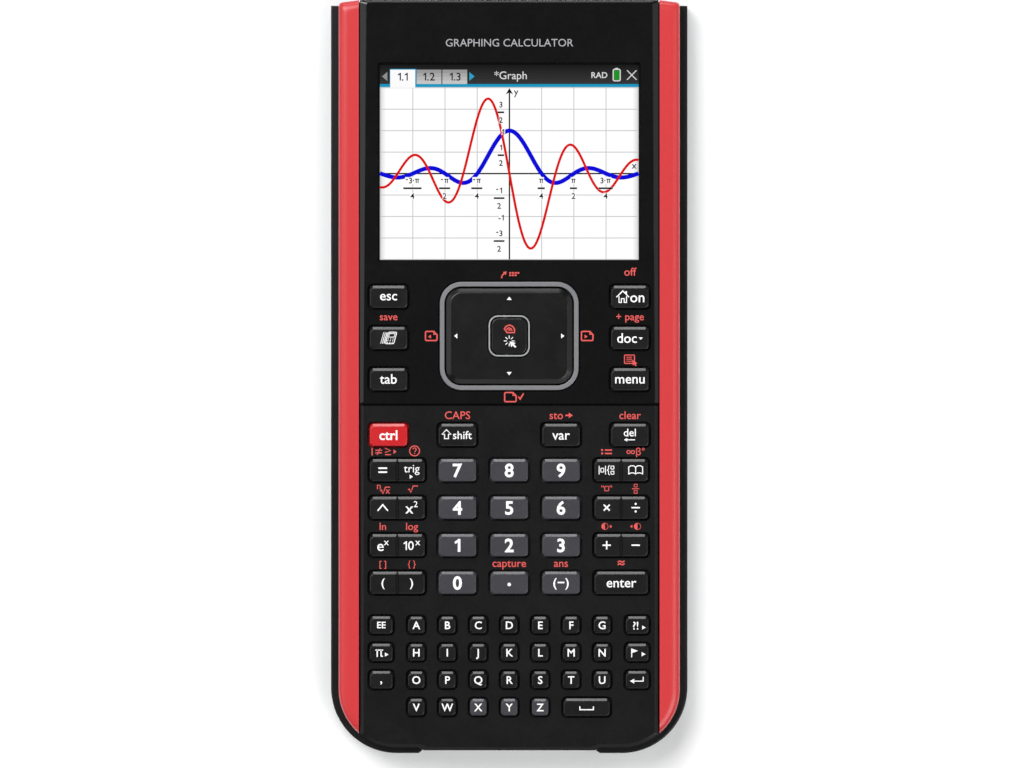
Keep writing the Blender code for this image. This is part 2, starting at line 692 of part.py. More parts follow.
# ---- Inside ----------------------------------------------------------------------------------
def electronics():
    """The main board, the rubber keypad sheet with a post under each key, and the battery."""
    board = prism("main_board", [rounded(0, 1.0, *BOARD_SIZE, 1.5)], *BOARD)
    under = (BOARD[0] - 1.0, BOARD[0] + 0.2)
    chips = [
        box("processor", (-8, 8), (-38, -22), under),
        box("memory", (14, 24), (-36, -24), under),
        box("power_chip", (-28, -22), (-56, -50), under),
        box("battery_socket", (20, 28), (-10, -4), (BOARD[0] - 2.0, BOARD[0] + 0.2)),
        box("crystal", (-26, -21), (-34, -31), under),
    ]
    combine(board, "UNION", joined("chips", chips))
    finish(board, "circuit_board")

    bottom, top = LETTER_Y - 24.5, NAVIGATION_Y + 4.2
    sheet_outline = rounded(0, (bottom + top) / 2, MEMBRANE_WIDTH, top - bottom, 3.0)
    sheet = prism("keypad_membrane", [sheet_outline], *MEMBRANE)
    presses = [(key.x, key.y) for key in [*navigation_keys(), *field_keys()]]
    presses += [(key.x + side * 3.6, key.y) for key in double_keys() for side in (-1, 1)]
    presses += [(key.x, key.y) for row in letter_rows() for key in row]
    squares = [arc(x, y, POST_RADIUS, 45, 315, 3) for x, y in presses]
    combine(sheet, "UNION", prism("posts", squares, MEMBRANE[1] - 0.3, POST_TOP))
    finish(sheet, "silicone")

    width, height = BATTERY_OPENING
    battery = prism("battery_pack", [rounded(0, BATTERY_Y, width - 4, height - 4, 2.0)], *BATTERY)
    soften(battery, BATTERY[1], 0.8)
    finish(battery, "battery_wrap")


def screw(name, at, head, tip):
    """A pan-head screw, head down, with its point up inside the case. The head is its two levels."""
    low, high = head
    profile = [(0, tip), (SCREW_RADIUS - 0.25, tip), (SCREW_RADIUS, tip - 0.5), (SCREW_RADIUS, high)]
    profile += [(SCREW_HEAD, high), (SCREW_HEAD, low + 0.2), (SCREW_HEAD - 0.2, low), (0, low)]
    return finish(turned(name, profile, at), "steel")


def fasteners():
    for number, at in enumerate(SCREW_AT, 1):
        screw(f"case_screw_{number}", at, (2.7, 4.1), SCREW_TIP)
    screw("battery_cover_screw", lid_screw_at(), (BACK_FLOOR + 0.1, BACK_FLOOR + 0.6), 6.4)


def reset_button():
    """The small button at the bottom of its hole in the back, with a flange inside the case."""
    radius, flange = RESET_RADIUS, RESET_RADIUS + 0.9
    profile = [(0, 6.6), (flange, 6.6), (flange, 5.9), (radius, 5.9), (radius, 3.0), (0, 3.0)]
    return finish(turned("reset_button", profile, RESET_AT), "grey_key")


# ---- Keys ------------------------------------------------------------------------------------
def keys():
    thick = FLANGE[1] - FLANGE[0]
    for key in navigation_keys():
        low = FLANGE[0] + UPPER_KEY_LIFT
        finish(cap(key.name, key, (KEY_FLANGE, thick), low, PLATE_TOP + KEY_RISE), "black_key")
    for key in field_keys():
        is_digit = key.name[4:].isdigit() or key.name in ("key_point", "key_sign")
        colour = "grey_key" if is_digit else "red_key" if key.name == "key_ctrl" else "black_key"
        finish(cap(key.name, key, (KEY_FLANGE, thick), FLANGE[0], FIELD_TOP + KEY_RISE), colour)
    for key in double_keys():
        double_key(key)
    for number, row in enumerate(letter_rows(), 1):
        letter_row(f"letter_keys_row_{number}", row)


def double_key(key):
    """A rocking key, with a shallow groove between its two halves."""
    low, high = DOUBLE_FLANGE
    obj = cap(key.name, key, (KEY_FLANGE, high - low), low, FIELD_TOP + KEY_RISE)
    top = FIELD_TOP + KEY_RISE
    groove = box("groove", (-0.35, 0.35), (-6, 6), (top - 0.4, top + 1))
    groove.location = obj.location
    combine(obj, "DIFFERENCE", groove)
    return finish(turn_about(obj, (key.x, key.y, DOUBLE_AXIS)), "black_key")


def letter_row(name, row):
    """One row of small keys on its carrier strip."""
    low, high = FLANGE
    foot = KEY_FLANGE
    left = row[0].x - row[0].width / 2 - foot
    right = row[-1].x + row[-1].width / 2 + foot
    height = LETTER_KEY[1] + 2 * foot
    strip = prism(name, [rounded((left + right) / 2, row[0].y, right - left, height, 1.0)], low, high)
    for key in row:
        combine(strip, "UNION", cap("letter", key, (0, 0), low + 0.2, FIELD_TOP + LETTER_RISE))
    return finish(strip, "black_key")


def main():
    for obj in list(bpy.data.objects):
        bpy.data.objects.remove(obj)
    collection = bpy.data.collections.new("graphing_calculator")
    bpy.context.scene.collection.children.link(collection)
    front_case()
    back_case()
    battery_cover()
    upper_faceplate()
    side_rail("side_rail_left", -1)
    side_rail("side_rail_right", 1)
    slide_cover()
    display()
    touchpad()
    ports()
    electronics()
    fasteners()
    reset_button()
    keys()


main()
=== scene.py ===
"""The looks of the graphing calculator: fine shapes, finishes, legends, the lit display, and the studio.

Lengths are in millimetres unless a comment says otherwise, and MM turns them into metres. X runs
across the face, Y from its bottom edge to its top edge, and Z up out of it.
"""
import math

import bmesh
import bpy
from mathutils import Matrix, Vector


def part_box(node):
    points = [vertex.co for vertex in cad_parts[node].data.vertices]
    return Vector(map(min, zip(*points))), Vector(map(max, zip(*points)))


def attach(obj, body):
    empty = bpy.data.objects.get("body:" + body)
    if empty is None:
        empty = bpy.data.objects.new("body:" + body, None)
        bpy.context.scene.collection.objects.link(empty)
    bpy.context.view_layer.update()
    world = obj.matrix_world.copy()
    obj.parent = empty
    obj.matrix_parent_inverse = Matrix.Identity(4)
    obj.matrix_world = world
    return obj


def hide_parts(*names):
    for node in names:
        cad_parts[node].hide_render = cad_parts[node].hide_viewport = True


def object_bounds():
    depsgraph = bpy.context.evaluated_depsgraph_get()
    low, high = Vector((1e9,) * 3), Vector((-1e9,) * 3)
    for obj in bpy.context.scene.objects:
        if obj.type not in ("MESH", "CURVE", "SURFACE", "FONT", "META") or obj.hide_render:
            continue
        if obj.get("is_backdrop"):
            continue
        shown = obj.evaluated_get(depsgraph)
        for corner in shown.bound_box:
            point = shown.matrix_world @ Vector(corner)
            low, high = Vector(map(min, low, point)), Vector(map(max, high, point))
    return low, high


MM = 0.001
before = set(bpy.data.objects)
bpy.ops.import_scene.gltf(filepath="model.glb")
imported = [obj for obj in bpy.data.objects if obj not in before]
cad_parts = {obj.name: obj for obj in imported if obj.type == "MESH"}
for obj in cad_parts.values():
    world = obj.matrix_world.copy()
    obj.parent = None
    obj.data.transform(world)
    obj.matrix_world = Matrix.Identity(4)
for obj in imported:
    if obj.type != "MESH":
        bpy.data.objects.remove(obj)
cad_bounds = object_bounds()

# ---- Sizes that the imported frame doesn't give ------------------------------------------------
BODY_WIDTH = 86.0
COVER_WIDTH = 90.0
TOP_Y = 95.0
COVER_BOTTOM_Y = -95.0
BODY_BOTTOM_Y = -93.35
BODY_CORNER = 14.6
COVER_CORNER = 16.6
CORNER_STEPS = 24  # straight runs that make up each of these corners
DOCK_HALF = 21.6
DOCK_STEP = 0.75
DOCK_SLOPE = 1.3
FACE_HALF = 37.6
RAIL_INSIDE = 37.9
SEAM_Y = -7.15
GAP = 0.3

ABOVE = 40.0  # a level well above the object, for cutters
COVER_PLATE = 1.8
COVER_RIM = 9.6
BACK_FLOOR = 2.1
BACK_TOP = 8.0
GROOVE_TOP = 9.9
GROOVE_DEPTH = 1.2
LEDGE = 14.0
FIELD_TOP = 16.8
DECK_TOP = 15.8
PLATE_TOP = 17.2
RAIL_TOP = 16.9

KEY_FEET = 11.4  # from here up to SKIN the keypad field is hollow, for the feet of the keys
SKIN = 15.2
# The levels that the openings in the keypad field are cut down to
HOLE_FLOOR = 13.6
PAD_FLOOR = 12.4
COLUMN_FLOOR = 13.3  # under the navigation keys
WINDOW_FLOOR = 13.9
COLUMN = (12.2, 28.8)
WINDOW_OPENING = (71.0, 55.0)

SCREEN = (65.2, 49.0)
SCREEN_Y = 54.1
PAD_Y = 10.3
RING_OUTSIDE = (35.0, 27.3)
RING_WIDTH = 1.2
RING_CORNER = 5.5
RING_TOP = 17.5
PAD_TOP = 17.6
CLICK_RING = 10.4
CLICK_RING_WIDTH = 0.4
CLICK_CORNER = 2.4

FLANGE = 0.6  # how far each key's hidden foot stands out all round
KEY_GAP = 0.35
CRISP = 18  # degrees: edges sharper than this stay crisp on the key caps
KEY_CORNER = 0.95
LETTER_CORNER = 0.85
LETTER_PITCH = 7.8
SYMBOL_X = 32.25
SPACE_X = 19.5
LETTER_KEY = 4.5  # width of a small key
HALF_KEY = 3.65  # from the middle of a rocking key to the middle of each half


# ---- Flat outlines, as lists of (x, y) -------------------------------------------------------
def arc(centre_x, centre_y, radius, start, end, steps):
    """Points along an arc, with both ends. Angles in degrees, anticlockwise from +X."""
    angles = [math.radians(start + (end - start) * i / steps) for i in range(steps + 1)]
    return [(centre_x + radius * math.cos(a), centre_y + radius * math.sin(a)) for a in angles]


def circle(x, y, radius, sides):
    """A whole circle, anticlockwise from +X."""
    return arc(x, y, radius, 0, 360 - 360 / sides, sides - 1)


def rounded(x, y, width, height, corner, steps=6):
    """A rectangle with rounded corners, anticlockwise."""
    across, up = width / 2 - corner, height / 2 - corner
    return [
        point
        for quarter, (sx, sy) in enumerate(((1, 1), (-1, 1), (-1, -1), (1, -1)))
        for point in arc(x + sx * across, y + sy * up, corner, 90 * quarter, 90 * quarter + 90, steps)
    ]


def both_sides(right_half):
    """The outline whose right half, bottom middle to top middle, is given."""
    return right_half + [(-x, y) for x, y in reversed(right_half)]


def body_outline(inset=0.0, half=BODY_WIDTH / 2):
    """The calculator seen from above, drawn in by inset. A smaller half cuts it off along both sides."""
    side = half - inset
    bottom = BODY_BOTTOM_Y + inset
    radius = BODY_CORNER - inset
    centre_x = BODY_WIDTH / 2 - BODY_CORNER
    centre_y = BODY_BOTTOM_Y + BODY_CORNER
    whole = side > centre_x + radius - 1e-6
    last = 0.0 if whole else -math.degrees(math.acos((side - centre_x) / radius))
    points = [(DOCK_HALF - inset, bottom - DOCK_STEP), (DOCK_HALF + DOCK_SLOPE - inset, bottom)]
    points += arc(centre_x, centre_y, radius, -90, last, CORNER_STEPS)
    top = TOP_Y - inset
    if half == BODY_WIDTH / 2:  # the top corner slopes and is rounded off
        points += [(side, top - 1.6), (side - 0.2, top - 1.0), (side - 0.7, top - 0.6), (FACE_HALF, top)]
    else:
        points += [(side, top)]
    return both_sides(points)


def cover_outline(inset=0.0):
    """The cover's outer outline, with the dock gap in its bottom edge and a square top."""
    side = COVER_WIDTH / 2 - COVER_CORNER
    points = [
        (DOCK_HALF + inset / 2, BODY_BOTTOM_Y - DOCK_STEP + inset),
        (DOCK_HALF + DOCK_SLOPE + inset / 2, COVER_BOTTOM_Y + inset),
    ]
    points += arc(side, COVER_BOTTOM_Y + COVER_CORNER, COVER_CORNER - inset, -90, 0, CORNER_STEPS)
    return both_sides([*points, (COVER_WIDTH / 2 - inset, TOP_Y - 1.3 - inset / 2)])


def open_at_top(outline):
    """The same outline with its top end run on past the object, for a pocket that is open there."""
    return [(x, y + 20.0 if y > 0 else y) for x, y in outline]


def edge_rounding(radius, steps=4):
    """(drop, inset) pairs up a quarter-round edge, from its foot to its crown."""
    turns = [math.pi / 2 * i / steps for i in range(steps + 1)]
    return [(radius * (1 - math.sin(a)), radius * (1 - math.cos(a))) for a in turns]


# ---- Solids ----------------------------------------------------------------------------------
def put(name, mesh):
    obj = bpy.data.objects.new(name, mesh)
    bpy.context.scene.collection.objects.link(obj)
    return obj


def loft(name, sections):
    """A solid through a stack of outlines, each with its level. All have the same number of points."""
    count = len(sections[0][1])
    points = [(x * MM, y * MM, level * MM) for level, outline in sections for x, y in outline]
    faces = [tuple(reversed(range(count))), tuple(range(len(points) - count, len(points)))]
    for below in range(0, len(points) - count, count):
        for i in range(count):
            beside = (i + 1) % count
            faces.append((below + i, below + beside, below + count + beside, below + count + i))
    mesh = bpy.data.meshes.new(name)
    mesh.from_pydata(points, [], faces)
    return put(name, mesh)


def prism(name, outline, low, high):
    return loft(name, [(low, outline), (high, outline)])


def box(name, x, y, z):
    """A box from three (low, high) pairs."""
    return prism(name, [(x[0], y[0]), (x[1], y[0]), (x[1], y[1]), (x[0], y[1])], *z)


def evaluated_mesh(obj):
    bpy.context.view_layer.update()
    return bpy.data.meshes.new_from_object(obj.evaluated_get(bpy.context.evaluated_depsgraph_get()))


def joined(name, objects):
    """Several objects' meshes gathered into one object."""
    shape = bmesh.new()
    for obj in objects:
        mesh = obj.data if obj.type == "MESH" else evaluated_mesh(obj)
        start = len(shape.verts)
        shape.from_mesh(mesh)
        shape.verts.ensure_lookup_table()
        bmesh.ops.transform(shape, matrix=obj.matrix_world, verts=shape.verts[start:])
        bpy.data.objects.remove(obj)
    mesh = bpy.data.meshes.new(name)
    shape.to_mesh(mesh)
    shape.free()
    return put(name, mesh)


def combine(obj, operation, *tools):
    """Joins the tools to obj, or cuts them from it, and removes them."""
    for tool in tools:
        modifier = obj.modifiers.new(tool.name, "BOOLEAN")
        modifier.operation = operation
        modifier.solver = "EXACT"
        modifier.object = tool
        obj.data = evaluated_mesh(obj)
        obj.modifiers.clear()
        bpy.data.objects.remove(tool)
    return obj


def hole(x, y, width, height, corner, low, top, rim=0.12, steps=6):
    """A cutter for a hole with rounded corners and a small chamfer round its rim."""
    narrow = rounded(x, y, width, height, corner, steps)
    wide = rounded(x, y, width + 2 * rim, height + 2 * rim, corner + rim, steps)
    return loft("hole", [(low, narrow), (top - rim, narrow), (top, wide), (top + 3, wide)])


def smooth(obj, angle=32):
    """Round surfaces shade smooth, and flat ones stay flat up to their rounded edges."""
    obj.data.shade_smooth()
    obj.data.set_sharp_from_angle(angle=math.radians(angle))
    weights = obj.modifiers.new("even_shading", "WEIGHTED_NORMAL")
    weights.keep_sharp = True
    return obj


def piece(obj, name, body, material, slot, replaces=(), angle=32):
    """Names a finished shape, gives it its material, and makes it ride on its body."""
    obj.name = obj.data.name = name
    obj.data.materials.clear()
    obj.data.materials.append(material)
    smooth(obj, angle)
    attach(obj, body)
    if replaces:
        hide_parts(*replaces)
    return obj


# ---- Materials -------------------------------------------------------------------------------
def tint(colour, scale=1.0):
    """An opaque colour, made lighter or darker."""
    return (*[min(1, c * scale) for c in colour], 1)


class Surface:
    """A material being built. An input given as a socket is linked, and any other value is set."""

    def __init__(self, name):
        self.material = bpy.data.materials.new(name)
        self.material.use_nodes = True
        self.tree = self.material.node_tree
        self.coords = self.tree.nodes.new("ShaderNodeTexCoord").outputs["Object"]

    def feed(self, node, inputs):
        for name, value in inputs.items():
            if isinstance(value, bpy.types.NodeSocket):
                self.tree.links.new(value, node.inputs[name])
            else:
                node.inputs[name].default_value = value

    def node(self, kind, output, inputs, **settings):
        """Adds a node, and returns one of its outputs."""
        made = self.tree.nodes.new(f"ShaderNode{kind}")
        for name, value in settings.items():
            setattr(made, name, value)
        self.feed(made, inputs)
        return made.outputs[output]

    def noise(self, scale, detail, roughness=0.5, vector=None):
        inputs = {"Scale": scale, "Detail": detail, "Roughness": roughness, "Vector": vector or self.coords}
        return self.node("TexNoise", "Fac", inputs)

    def spread(self, value, low, high, start=0.3, end=0.7):
        """Maps a value from start and end to low and high."""
        inputs = {"Value": value, "From Min": start, "From Max": end, "To Min": low, "To Max": high}
        return self.node("MapRange", "Result", inputs)

    def blend(self, factor, first, second):
        """A colour between two others."""
        return self.node("Mix", "Result", {"Factor": factor, "A": first, "B": second}, data_type="RGBA")

    def finished(self, inputs):
        """The material, with these inputs in its shader."""
        self.feed(self.tree.nodes["Principled BSDF"], inputs)
        return self.material


def plastic(name, colour, roughness, grain=0.0, grain_scale=2500, wear=0.12, specular=0.5, variation=0.12):
    """Moulded plastic: a moulded-in colour that drifts a little, handling wear that changes its gloss,
    fine dust, and a spark-eroded grain."""
    made = Surface(name)
    dust = made.spread(made.noise(900, 4, 0.6), 0.0, 0.45)
    drift = made.node("Math", 0, {0: made.noise(45, 2), 1: 0.55, 2: dust}, operation="MULTIPLY_ADD")
    lighter = [c * (1 + variation) + 0.002 for c in colour]
    rubbed = made.noise(130, 5, 0.65)
    inputs = {
        "Base Color": made.blend(drift, tint(colour, 1 - variation), tint(lighter)),
        "Roughness": made.spread(rubbed, roughness * (1 - wear), roughness * (1 + wear)),
        "Specular IOR Level": specular,
    }
    if grain:
        height = made.noise(grain_scale, 2)
        bump = {"Strength": grain, "Distance": 0.02 * MM, "Height": height}
        inputs["Normal"] = made.node("Bump", "Normal", bump)
    return made.finished(inputs)


def brushed_metal(name, colour, roughness):
    """Metal with fine drawn lines along X."""
    made = Surface(name)
    drawn_out = made.node("Mapping", "Vector", {"Vector": made.coords, "Scale": (0.05, 1, 1)})
    lines = made.noise(4000, 3, vector=drawn_out)
    return made.finished({
        "Base Color": made.blend(lines, tint(colour, 0.85), tint(colour)),
        "Roughness": made.spread(lines, roughness * 0.7, roughness * 1.3),
        "Metallic": 1.0,
    })


def circuit_board(name):
    """Green lacquer over copper tracks, with tinned pads."""
    made = Surface(name)
    tracks = made.node("TexBrick", "Color", {
        "Vector": made.coords, "Scale": 180, "Mortar Size": 0.012, "Mortar": (0.030, 0.190, 0.080, 1),
        "Color1": (0.010, 0.085, 0.030, 1), "Color2": (0.013, 0.105, 0.040, 1),
    })
    dots = made.node("TexVoronoi", "Distance", {"Vector": made.coords, "Scale": 260})
    is_pad = made.node("Math", 0, {0: dots, 1: 0.16}, operation="LESS_THAN")
    return made.finished({
        "Base Color": made.blend(is_pad, tracks, (0.55, 0.53, 0.48, 1)),
        "Roughness": made.spread(dots, 0.3, 0.5, 0, 0.5),
        "Metallic": is_pad,
    })


def printed(name, colour):
    """Pad-printed ink, very slightly uneven."""
    made = Surface(name)
    uneven = made.noise(2200, 3)
    roughness = 0.45
    return made.finished({
        "Base Color": made.blend(uneven, tint(colour, 0.86), tint(colour, 1.06)),
        "Roughness": made.spread(uneven, roughness * 0.85, roughness * 1.15),
        "Specular IOR Level": 0.3,
    })


def lit(name, colour, strength):
    """Part of the lit display: the colour glows, with the faint grid of the display's own dots."""
    made = Surface(name)
    dot = 0.2 * MM
    cells = {"Vector": made.coords, "Scale": 2 / dot, "Color1": tint(colour), "Color2": tint(colour, 0.985)}
    return made.finished({
        "Base Color": (0, 0, 0, 1), "Roughness": 0.35, "Specular IOR Level": 0.0,
        "Emission Color": made.node("TexChecker", "Color", cells), "Emission Strength": strength,
    })


def clear_plastic(name):
    """The display's clear window: mostly see-through, with a polished, slightly scuffed surface."""
    made = Surface(name)
    scuffs = made.spread(made.noise(300, 6, 0.7), 0.03, 0.08)
    return made.finished({
        "Base Color": (0.02, 0.02, 0.02, 1), "Roughness": scuffs, "Specular IOR Level": 0.35, "Alpha": 0.05,
    })


BLACK_GLOSS = plastic("black_gloss", (0.0036, 0.0036, 0.0037), 0.13, wear=0.25, specular=0.42)
BLACK_SATIN = plastic("black_satin", (0.0050, 0.0050, 0.0052), 0.27, grain=0.2, specular=0.2)
BLACK_BACK = plastic(
    "black_back", (0.0100, 0.0100, 0.0106), 0.46, grain=0.3, grain_scale=1500, specular=0.4,
)
BLACK_COVER = plastic(
    "black_cover", (0.0046, 0.0046, 0.0048), 0.34, grain=0.3, grain_scale=1600, specular=0.24,
)
RED_RAIL = plastic("red_rail", (0.53, 0.036, 0.040), 0.26, wear=0.03, variation=0.03, specular=0.36)
RED_KEY = plastic("red_key", (0.49, 0.005, 0.009), 0.26, grain=0.05, variation=0.05)
GREY_KEY = plastic("grey_key", (0.037, 0.037, 0.044), 0.28, grain=0.05, specular=0.42, variation=0.06)
BLACK_KEY = plastic("black_key", (0.0046, 0.0046, 0.0049), 0.25, grain=0.04, specular=0.36)
PAD_BLACK = plastic("pad_black", (0.0038, 0.0038, 0.0041), 0.24, grain=0.03, specular=0.38)
RING_GREY = plastic("ring_grey", (0.17, 0.17, 0.18), 0.30, grain=0.1, variation=0.06)
TRIM_GREY = plastic("trim_grey", (0.30, 0.30, 0.31), 0.30, grain=0.1, variation=0.06)
SILICONE = plastic("silicone", (0.30, 0.30, 0.31), 0.65, grain=0.3)
WRAP = plastic("battery_wrap", (0.10, 0.12, 0.17), 0.42, grain=0.2, variation=0.08)
STEEL = brushed_metal("steel", (0.55, 0.55, 0.56), 0.3)
GOLD = brushed_metal("gold_contact", (0.78, 0.58, 0.28), 0.25)
GREEN_BOARD = circuit_board("green_board")
CLEAR = clear_plastic("clear_window")
LED_GREEN = plastic("led_lens", (0.05, 0.26, 0.08), 0.22, variation=0.1)
WHITE_INK = printed("white_ink", (0.86, 0.86, 0.86))
RED_INK = printed("red_ink", (0.66, 0.082, 0.074))
GREY_INK = printed("grey_ink", (0.34, 0.34, 0.36))


# ---- The case --------------------------------------------------------------------------------
def box_mm(node):
    """A CAD node's box: its middle, and its size, in millimetres."""
    low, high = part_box(node)
    return (low + high) / 2 / MM, (high - low) / MM


def turned(node, profile):
    """A cutter turned about a CAD node's upright axis, from (radius, height) pairs, bottom to top."""
    middle, _ = box_mm(node)
    return loft("turned", [(height, circle(middle.x, middle.y, radius, 32)) for radius, height in profile])


def key_boxes():
    """Each separate key's node with its cap's middle, cap size and top."""
    found = {}
    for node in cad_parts:
        if node.startswith(("key_", "double_key_")):
            middle, size = box_mm(node)
            top = middle.z + size.z / 2
            width, height = size.x - 2 * FLANGE - 0.1, size.y - 2 * FLANGE - 0.1
            found[node] = (middle.x, middle.y - 0.1, width, height, top)
    return found


def letter_boxes():
    """The small keys of each letter row, left to right."""
    rows = {}
    for number in range(1, 5):
        node = f"letter_keys_row_{number}"
        middle, size = box_mm(node)
        y, top, height = middle.y, middle.z + size.z / 2, size.y - 2 * FLANGE
        if number < 4:
            half = size.x / 2 - FLANGE
            symbol = 2 * (half - SYMBOL_X)
            row = [(i * LETTER_PITCH, y, LETTER_KEY, height - 0.2, top) for i in range(-3, 4)]
            row = [(-SYMBOL_X, y, symbol, height, top), *row, (SYMBOL_X, y, symbol, height, top)]
        else:
            space = 2 * (middle.x + size.x / 2 - FLANGE - SPACE_X)
            row = [(i * LETTER_PITCH, y, LETTER_KEY, height - 0.2, top) for i in range(-3, 2)]
            row.append((SPACE_X, y, space, height, top))
        rows[number] = row
    return rows


KEYS = key_boxes()
LETTERS = letter_boxes()
UPPER_KEYS = [f"key_{name}" for name in ("esc", "on", "scratchpad", "doc", "tab", "menu")]


def key_hole(key, low, top):
    """A chamfered hole for a key cap, with the gap round it."""
    x, y, width, height, _ = key
    return hole(x, y, width + 2 * KEY_GAP, height + 2 * KEY_GAP, KEY_CORNER + KEY_GAP, low, top)


def keypad_field():
    """The front shell: skirt behind the groove, shelf under the rails, keypad field, and sunk deck."""
    facet = ((0.42, 0), (0.05, 0.75), (0, 0.9))
    edge = [(FIELD_TOP - drop, body_outline(inset, FACE_HALF)) for drop, inset in facet]
    case = loft("keypad_field", [(GROOVE_TOP, body_outline(0, FACE_HALF)), *edge])
    skirt = prism("skirt", body_outline(GROOVE_DEPTH), BACK_TOP + GAP, LEDGE)
    combine(case, "UNION", skirt)
    sunk = box("sunk_deck", (-BODY_WIDTH, BODY_WIDTH), (SEAM_Y - GAP / 2, 2 * TOP_Y), (DECK_TOP, ABOVE))
    combine(case, "DIFFERENCE", sunk)
    cavity = box("cavity", (-36.5, 36.5), (-88, SEAM_Y - 1.2), (KEY_FEET, SKIN))
    combine(case, "DIFFERENCE", cavity)
    window = rounded(0, SCREEN_Y, *WINDOW_OPENING, 1.0)
    pad = rounded(0, PAD_Y, RING_OUTSIDE[0] - 1.4, RING_OUTSIDE[1] - 1.4, RING_CORNER - 0.7)
    cutters = [prism("window", window, WINDOW_FLOOR, ABOVE), prism("pad_well", pad, PAD_FLOOR, ABOVE)]
    for side in (-1, 1):
        column = rounded(side * KEYS["key_on"][0], KEYS["key_doc"][1], *COLUMN, 1.0)
        cutters.append(prism("column", column, COLUMN_FLOOR, ABOVE))
    holes = [KEYS[node] for node in KEYS if node not in UPPER_KEYS]
    holes += [key for row in LETTERS.values() for key in row]
    cutters += [key_hole(key, HOLE_FLOOR, FIELD_TOP) for key in holes]
    combine(case, "DIFFERENCE", joined("cutters", cutters))
    led_x, led_half = 14.0, 1.8
    led = box("led_cutter", (led_x - led_half, led_x + led_half), (TOP_Y - 6, TOP_Y + 5), (10.6, 12.8))
    usb, dock = port_openings()
    combine(case, "DIFFERENCE", usb, led, dock)
    return piece(case, "keypad_field", "case", BLACK_SATIN, "case_black", ["front_case"], CRISP)


def port_openings():
    """The openings for the USB socket in the top edge, and for the dock contacts in the bottom edge."""
    made = []
    for node, corner, front, back in (
        ("usb_port", 1.2, TOP_Y - 10.5, TOP_Y + 5),
        ("dock_connector", 0.8, BODY_BOTTOM_Y - 5, BODY_BOTTOM_Y + 4),
    ):
        middle, size = box_mm(node)
        outline = rounded(0, middle.z, size.x + 2 * GAP, size.z + 2 * GAP, corner)
        made.append(upright("opening", outline, front, back))
    return made


def upright(name, outline, front, back):
    """A prism along Y from an outline given as (x, z)."""
    obj = prism(name, outline, -back, -front)
    obj.data.transform(Matrix.Rotation(math.pi / 2, 4, "X"))
    obj.data.update()
    return obj


def back_shell():
    """The back, with the battery bay's lid set in, the screw wells and the reset hole."""
    edge = [(BACK_FLOOR + drop, body_outline(GAP + inset)) for drop, inset in reversed(edge_rounding(1.2))]
    case = loft("back_shell", [*edge, (BACK_TOP, body_outline(GAP))])
    pocket = prism("pocket", body_outline(GAP + 1.6), 5.4, BACK_TOP + 4)
    combine(case, "DIFFERENCE", pocket)
    lid_ledge = prism("lid_ledge", lid_outline(0), 0, BACK_FLOOR + 1.5)
    screw_well = [(2.6, 0), (2.1, 2.6), (2.1, 4.4)]
    wells = [turned(f"case_screw_{number}", screw_well) for number in range(1, 5)]
    wells.append(turned("reset_button", [(2.0, 0), (1.6, 2.4), (1.6, 5.0)]))
    combine(case, "DIFFERENCE", lid_ledge, joined("wells", wells), *port_openings())
    return piece(case, "back_shell", "case", BLACK_BACK, "case_black", ["back_case"])


def lid_outline(inset):
    """The battery bay's outline with the lid's screw tab."""
    middle, size = box_mm("battery_cover")
    top = middle.y + size.y / 2 + GAP - inset
    reach = middle.y - size.y / 2 - GAP + inset
    bottom = reach + 5.2
    side, tab = size.x / 2 + GAP - inset, 5.0 - inset
    points = [*arc(tab - 1, reach + 1, 1, -90, 0, 4), (tab, bottom)]
    points += [*arc(side - 1.5, bottom + 1.5, 1.5, -90, 0, 4), *arc(side - 1.5, top - 1.5, 1.5, 0, 90, 4)]
    return both_sides(points)


def battery_lid():
    """The lid over the battery bay, with finger ribs and the well for its screw."""
    lid = loft("battery_lid", [
        (BACK_FLOOR, lid_outline(GAP + 0.35)),
        (BACK_FLOOR + 0.12, lid_outline(GAP + 0.12)),
        (BACK_FLOOR + 0.35, lid_outline(GAP)),
        (BACK_FLOOR + 1.2, lid_outline(GAP)),
    ])
    screw_well = [(2.6, 1.5), (2.1, BACK_FLOOR + 0.4), (2.1, BACK_FLOOR + 0.8)]
    well = turned("battery_cover_screw", screw_well)
    bore = turned("battery_cover_screw", [(1.1, 1.5), (1.1, 4.0)])
    middle, size = box_mm("battery_cover")
    ribs = []
    for i in range(5):
        y = middle.y + size.y / 2 - 5 - 1.6 * i
        wide, narrow = rounded(0, y, 16, 0.7, 0.34), rounded(0, y, 15.7, 0.4, 0.19)
        ribs.append(loft("rib", [(0, wide), (BACK_FLOOR + 0.3, narrow)]))
    combine(lid, "DIFFERENCE", well, bore, joined("ribs", ribs))
    return piece(lid, "battery_lid", "case", BLACK_BACK, "case_black", ["battery_cover"])


